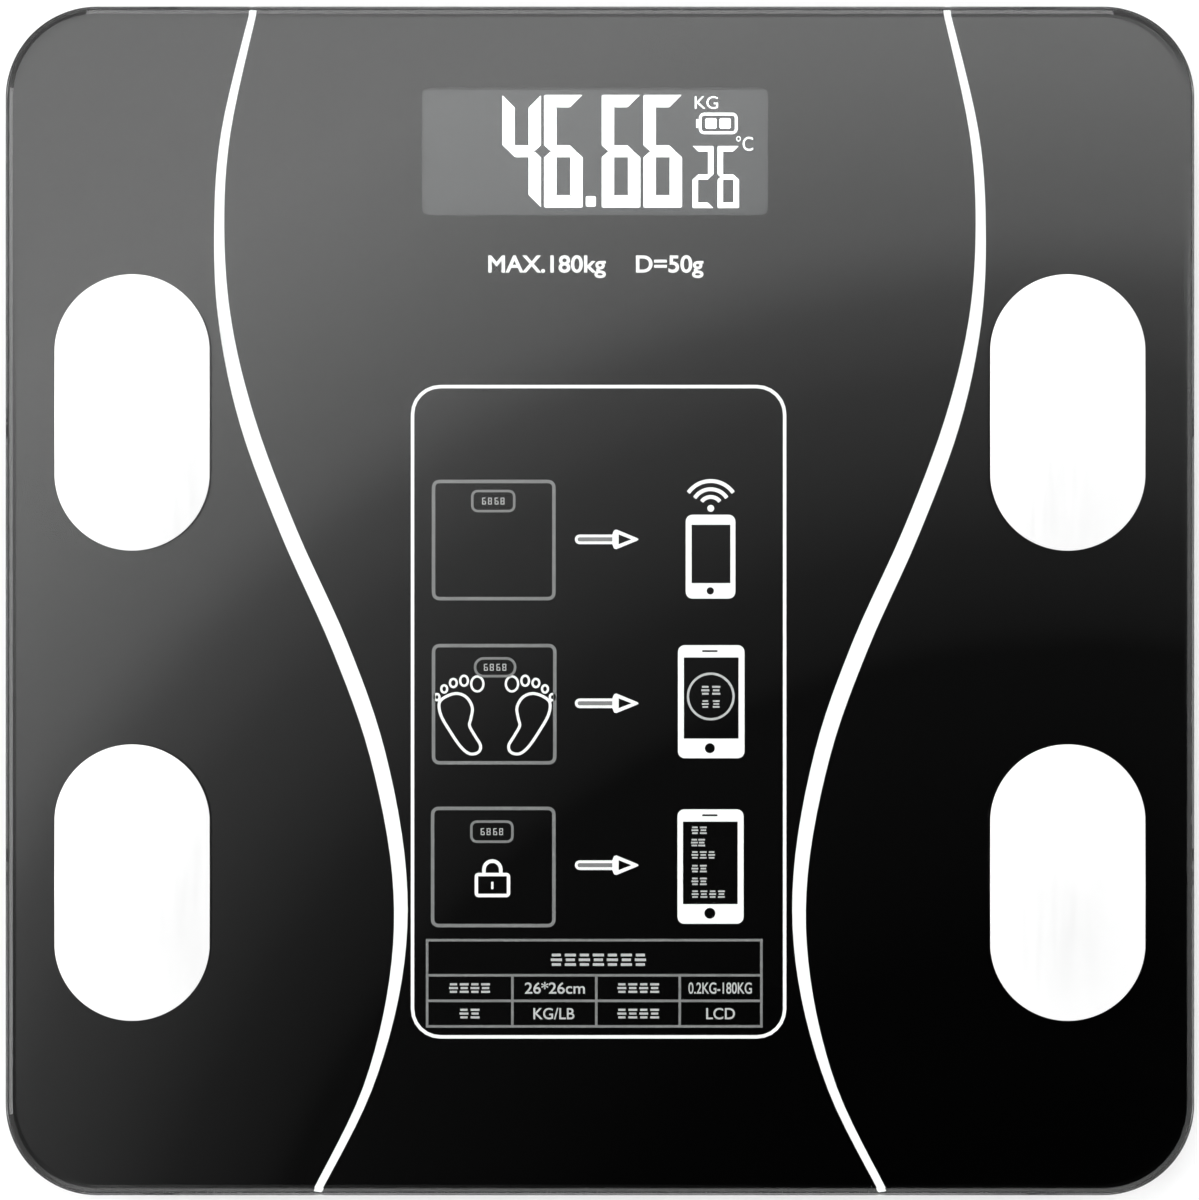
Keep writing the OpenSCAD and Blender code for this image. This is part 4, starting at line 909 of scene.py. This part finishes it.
def makeDisplay():
    d, t, b = displaySizes, smallSizes, batteryMark
    figures = []
    for pattern, left in bigFigures:
        figures += digitLoops(pattern, left, d["base"], d["wide"], d["tall"], d["stroke"])
    figures.append(roundedLoop(*d["point"]))
    displayPiece("weightFigures", figures)
    small = []
    for pattern, left, wide in t["figures"]:
        small += digitLoops(pattern, left, t["base"], wide, t["tall"], t["stroke"], t["gap"])
    displayPiece("temperatureFigures", small)
    mark = roundedRing(*b["case"])
    mark += [roundedLoop(x0, x1, b["barLow"], b["barHigh"], b["barCorner"]) for x0, x1 in b["bars"]]
    mark.append(roundedLoop(*b["tip"]))
    displayPiece("batteryMark", mark)
    for name, text, left, right, base, cap in displayLetters:
        obj = lettering(name, text, left, right, base, cap, d["low"], d["high"])
        finishPiece(obj, finishes["lit"], "scale_body", "display_glass")


print("building the platform")
finishes["board"] = circuitBoardFinish()
finishes["lit"] = litFinish()
makeGlass()
makeElectrodes()
print("printing the artwork")
makeGuides()
makePanel()
makePhones()
makeFeetAndLock()
makeTable()
makeRating()
print("lighting the display")
makeDisplay()


bodyOf = {name: body for body, names in frame["record"]["behaviour"]["bodies"].items() for name in names}


def frameCopy(name, newName):
    # the frame's own shape, as a new piece that may be worked on
    obj = copyOf(nodes[name], newName)
    bpy.ops.object.parent_clear(type="CLEAR_KEEP_TRANSFORM")
    for key in list(obj.keys()):
        del obj[key]
    settle(obj)
    cleanUp(obj)
    return obj


# moulded, stamped and foamed pieces get softened corners: width in millimetres, finish, slot
softPieces = {
    "base_tray": (0.3, "tray", "tray_plastic"),
    "battery_door": (0.15, "tray", "tray_plastic"),
    "unit_button": (0.2, "button", "button_plastic"),
    "foam_gasket": (0.15, "foam", "foam_tape"),
    "adhesive_pads": (0.15, "foam", "foam_tape"),
    "contact_strip": (0.1, "zebra", "silicone"),
    "lcd_frame": (0.12, "whitePlastic", "white_plastic"),
}
for corner in corners:
    softPieces["foot_cup_" + corner] = (0.25, "tray", "tray_plastic")
    softPieces["cell_bracket_" + corner] = (0.2, "bracket", "bracket_plastic")
    softPieces["load_cell_" + corner] = (0.1, "cell", "cell_steel")


def softenPiece(name, width, finish, slot):
    obj = frameCopy(name, name + ".softened")
    choose(obj, "FACE", lambda face: True)
    bpy.ops.mesh.dissolve_limited(angle_limit=math.radians(0.4))
    bpy.ops.object.mode_set(mode="OBJECT")
    bevelSharp(obj, 40, width, 2)
    cleanUp(obj)
    smoothEdges(obj, 40)
    # broad faces rule the shading, so the soft corners don't tint them
    even = obj.modifiers.new("even", "WEIGHTED_NORMAL")
    even.weight = 100
    even.keep_sharp = True
    applyAll(obj)
    finishPiece(obj, finishes[finish], bodyOf[name], slot, name)
    return obj


padSizes = {"segments": 96, "rim": 0.4, "grooves": [16.0, 12.0, 8.0, 4.0], "grooveWide": 1.3, "grooveDeep": 0.5,
            "slope": 0.2, "notchEvery": 8, "notchDeep": 0.45}


def makePads():
    p = padSizes
    low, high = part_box("foot_pad_toe_right")
    radius = (high.x - low.x) / 2
    bpy.ops.mesh.primitive_cylinder_add(
        vertices=p["segments"], radius=radius, depth=high.z - low.z, location=(0, 0, (low.z + high.z) / 2),
        end_fill_type="NGON",
    )
    pad = startPiece("footPad")
    settle(pad)
    choose(pad, "EDGE", lambda edge: liesAt(pad, edge, low.z))
    bpy.ops.mesh.bevel(offset=p["rim"] * mm, segments=3)
    # rings of tread, worked from the rim inwards
    choose(pad, "FACE", lambda face: face.normal.z < -0.99 and face.area > 0.0005)
    at = radius / mm - p["rim"]
    for ring in p["grooves"]:
        bpy.ops.mesh.inset(thickness=(at - ring) * mm)
        for thickness, rise in ((p["slope"], p["grooveDeep"]), (p["grooveWide"] - 2 * p["slope"], 0),
                                (p["slope"], -p["grooveDeep"])):
            bpy.ops.mesh.inset(thickness=thickness * mm)
            bpy.ops.transform.translate(value=(0, 0, rise * mm))
        at = ring - p["grooveWide"]
    bpy.ops.object.mode_set(mode="OBJECT")
    # short slots across the rings
    bounds = [(b - p["grooveWide"], a) for b, a in zip(p["grooves"], p["grooves"][1:])]
    middles = [(a + b) / 2 for a, b in bounds]

    def isSlot(face):
        x, y = face.center.x, face.center.y
        far = math.hypot(x, y) / mm
        step = round(math.degrees(math.atan2(y, x)) / (360 / p["segments"]) - 0.5) % p["notchEvery"]
        return face.normal.z < -0.99 and step == 0 and min(abs(far - m) for m in middles) < 0.4

    choose(pad, "FACE", isSlot)
    bpy.ops.mesh.extrude_region_move(TRANSFORM_OT_translate={"value": (0, 0, p["notchDeep"] * mm)})
    bpy.ops.object.mode_set(mode="OBJECT")
    for corner in corners:
        low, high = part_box("foot_cup_" + corner)
        twin = copyOf(pad, "footPad." + corner)
        twin.location = ((low.x + high.x) / 2, (low.y + high.y) / 2, 0)
        settle(twin)
        cleanUp(twin)
        smoothEdges(twin, 35)
        finishPiece(twin, finishes["rubber"], "foot_" + corner, "foot_rubber", "foot_pad_" + corner)
    bpy.data.objects.remove(pad)


# jacket colours, in the order of each bundle's wires
bundles = {"battery_leads": ["red", "black"], "electrode_leads": ["yellow", "white", "green", "blue"]}
for corner in corners:
    bundles["cell_leads_" + corner] = ["red", "white", "black"]


def makeWires():
    for name, colors in bundles.items():
        bundle = frameCopy(name, name + ".wire")
        bpy.ops.object.mode_set(mode="EDIT")
        bpy.ops.mesh.select_all(action="SELECT")
        bpy.ops.mesh.separate(type="LOOSE")
        bpy.ops.object.mode_set(mode="OBJECT")
        wires = bpy.context.selected_objects
        wires = sorted(wires, key=lambda wire: sum(v.co.x + v.co.y for v in wire.data.vertices))
        for color, wire in zip(colors, wires):
            wire.name = name + "." + color
            wire.data.name = wire.name
            smoothEdges(wire, 60)
            finishPiece(wire, finishes["wire." + color], "scale_body", "lead_insulation", name)


def zebraFinish():
    # thin conducting layers between clear ones
    material, tree, shader = newFinish("zebraSilicone")
    bands = addNode(tree, "TexWave", {"Vector": objectPlace(tree), "Scale": 320.0, "Distortion": 0.4, "Detail": 2.0},
                    wave_type="BANDS", bands_direction="X")
    edge = addNode(tree, "MapRange", {"Value": bands.outputs["Fac"], "From Min": 0.4, "From Max": 0.6})
    color = blend(tree, edge.outputs[0], (0.75, 0.7, 0.68, 1), (0.03, 0.03, 0.03, 1))
    surface = fillGroup(tree, grain, {"Color": color, "Variation": 0.05, "Roughness": 0.6, "Scale": 900.0})
    showSurface(tree, shader, surface)
    addBump(tree, shader, edge.outputs[0], 0.00001)
    return material


filmSizes = {"inset": 0.15, "rim": 5}


def makeFilm():
    # the print runs almost to the edge of the glass
    film = frameCopy("printed_film", "backPrint")
    low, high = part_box("printed_film")
    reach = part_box("glass_platform")[1].x - filmSizes["inset"] * mm
    rim = high.x - filmSizes["rim"] * mm
    corner = rim - glassSizes["corner"] * mm

    def isOuter(vertex):
        x, y = abs(vertex.co.x), abs(vertex.co.y)
        return max(x, y) > rim or (x > corner and y > corner)

    choose(film, "VERT", isOuter)
    grow = reach / high.x
    bpy.ops.transform.resize(value=(grow, grow, 1), center_override=(0, 0, 0))
    bpy.ops.object.mode_set(mode="OBJECT")
    finishPiece(film, finishes["blackInk"], "scale_body", "back_print", "printed_film")


print("softening the mouldings")
makeFilm()
finishes["zebra"] = zebraFinish()
for color, tint in (("red", (0.45, 0.02, 0.02)), ("white", (0.72, 0.72, 0.7)), ("black", (0.02, 0.02, 0.022)),
                    ("yellow", (0.62, 0.42, 0.03)), ("green", (0.03, 0.25, 0.06)), ("blue", (0.03, 0.08, 0.4))):
    finishes["wire." + color] = mouldedFinish("jacket" + color.capitalize(), tint, 0.38, 0.08, 700.0, 0.000004, 0.1)
for name, (width, finish, slot) in softPieces.items():
    piece = softenPiece(name, width, finish, slot)
    if name.startswith("load_cell_"):
        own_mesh(piece)
print("treading the feet")
makePads()
print("dressing the wires")
makeWires()
print("finishing the rest")
finishes["batteryA"] = batteryFinish("battery_a", 1)
finishes["batteryB"] = batteryFinish("battery_b", -1)
nodeFinishes = {
    "glass_platform": "glass", "printed_film": "blackInk", "electrode_nuts": "zinc",
    "electrode_terminals": "terminal", "electrode_leads": "wire",
    "foam_gasket": "foam", "adhesive_pads": "foam", "lcd_glass": "displayCell", "lcd_backlight": "lightGuide",
    "lcd_frame": "whitePlastic", "contact_strip": "silicone", "main_board": "board", "controller_chip": "chip",
    "wireless_module": "can", "board_components": "chipParts", "tact_switch": "switch", "switch_plunger": "switch",
    "board_screws": "zinc", "base_tray": "tray", "battery_door": "tray", "unit_button": "button",
    "battery_a": "batteryA", "battery_b": "batteryB", "battery_bridge": "nickel", "battery_spring": "nickel",
    "battery_plate": "nickel", "battery_leads": "wire", "gauge_coatings": "silicone", "bracket_screws": "zinc",
}
for corner in corners:
    nodeFinishes.update({
        "load_cell_" + corner: "cell", "cell_bracket_" + corner: "bracket", "cell_leads_" + corner: "wire",
        "foot_cup_" + corner: "tray", "foot_pad_" + corner: "rubber", "electrode_" + corner: "electrode",
    })
for name, node in nodes.items():
    node.data.materials.clear()
    node.data.materials.append(finishes[nodeFinishes[name]])


studio = {
    "camera": (-0.0001, 0.0002, 1.2267), "lens": 165, "sensor": 36, "farthestView": 50,
    "sky": 1.2, "horizon": 0.55, "skyFullAt": 0.6, "floor": 0.9, "floorGlow": 0.12, "floorSize": 12,
    "floorLevel": -0.0002, "cardHigh": 2.4, "cardHalf": 0.5, "cardGain": 2.15, "darkCorner": (0.312, -0.585, 0),
    "cardReach": 1.17, "softboxLean": 41, "softboxFar": 2.0, "softboxSize": 0.8, "softboxPower": 8.5,
}


def plainSurface(name, color, glow=0.0):
    return newFinish(name, {
        "Base Color": (*color, 1), "Roughness": 0.9, "Specular IOR Level": 0.0, "Emission Color": (1, 1, 1, 1),
        "Emission Strength": glow,
    })[0]


def makeFloor():
    bpy.ops.mesh.primitive_plane_add(size=studio["floorSize"], location=(0, 0, studio["floorLevel"]))
    floor = startPiece("studioFloor")
    floor.data.materials.append(plainSurface("paleFloor", (studio["floor"],) * 3, studio["floorGlow"]))


def makeCard():
    # a large graded card overhead, seen only as a soft reflection in the glass
    bpy.ops.mesh.primitive_plane_add(size=2 * studio["cardHalf"], location=(0, 0, studio["cardHigh"]))
    card = startPiece("gradedCard")
    material, tree, shader = newFinish("gradedCard")
    tree.nodes.remove(shader)
    place = addNode(tree, "TexCoord").outputs["Object"]
    # distance from the dark corner, as a share of the distance to the bright one
    fromDark = addNode(tree, "VectorMath", {0: place, 1: studio["darkCorner"]}, operation="DISTANCE")
    reach = combine(tree, "DIVIDE", fromDark.outputs["Value"], studio["cardReach"])
    ramp = addNode(tree, "ValToRGB", {"Fac": reach})
    glow = addNode(tree, "Emission", {"Color": ramp.outputs[0], "Strength": studio["cardGain"]})
    tree.links.new(glow.outputs[0], tree.nodes["Material Output"].inputs["Surface"])
    card.data.materials.append(material)
    return ramp


# the card's light, from its dark corner to its bright one: share of the reach, strength
lightStops = [(0.3, 0.0002), (0.46, 0.0008), (0.52, 0.0016), (0.71, 0.0036), (0.73, 0.0065), (0.80, 0.0116),
              (0.94, 0.033), (1.01, 0.055), (1.065, 0.094), (1.2, 0.14), (1.28, 0.16), (1.4, 0.162)]
farthest = 1.5
brightest = 0.162


def shadeCard(ramp):
    elements = ramp.color_ramp.elements
    for i, (at, light) in enumerate(lightStops):
        element = elements[i] if i < 2 else elements.new(at / farthest)
        element.position = at / farthest
        element.color = (light / brightest,) * 3 + (1,)


shadeCard(makeCard())
makeFloor()


def makeSoftboxes():
    # two softboxes, low enough for the polished edge to catch them along its left and upper sides
    lean = math.radians(studio["softboxLean"])
    for turn in (0, 90):
        angle = math.radians(turn + 90)
        away = studio["softboxFar"] * math.sin(lean)
        bpy.ops.object.light_add(
            type="AREA",
            location=(away * math.cos(angle), away * math.sin(angle), studio["softboxFar"] * math.cos(lean)),
            rotation=(lean, 0, angle + math.pi / 2),
        )
        lamp = bpy.context.object
        lamp.name = "softbox"
        lamp.data.size = studio["softboxSize"]
        lamp.data.energy = studio["softboxPower"]


makeSoftboxes()

world = bpy.data.worlds.new("studioSky")
bpy.context.scene.world = world
world.use_nodes = True
# the sky dims towards the horizon, which keeps side views of the glass from washing out
direction = addNode(world.node_tree, "TexCoord").outputs["Generated"]
upward = addNode(world.node_tree, "SeparateXYZ", {0: direction})
fade = addNode(world.node_tree, "MapRange", {
    "Value": upward.outputs[2], "From Min": 0.0, "From Max": studio["skyFullAt"],
    "To Min": studio["sky"] * studio["horizon"], "To Max": studio["sky"],
})
background = world.node_tree.nodes["Background"]
background.inputs["Color"].default_value = (1, 1, 1, 1)
world.node_tree.links.new(fade.outputs[0], background.inputs["Strength"])
bpy.context.scene.view_settings.view_transform = "Standard"

bpy.ops.object.camera_add(location=studio["camera"], rotation=(0, 0, 0))
camera = bpy.context.object
camera.data.lens = studio["lens"]
camera.data.sensor_width = studio["sensor"]
camera.data.clip_end = studio["farthestView"]
bpy.context.scene.camera = camera
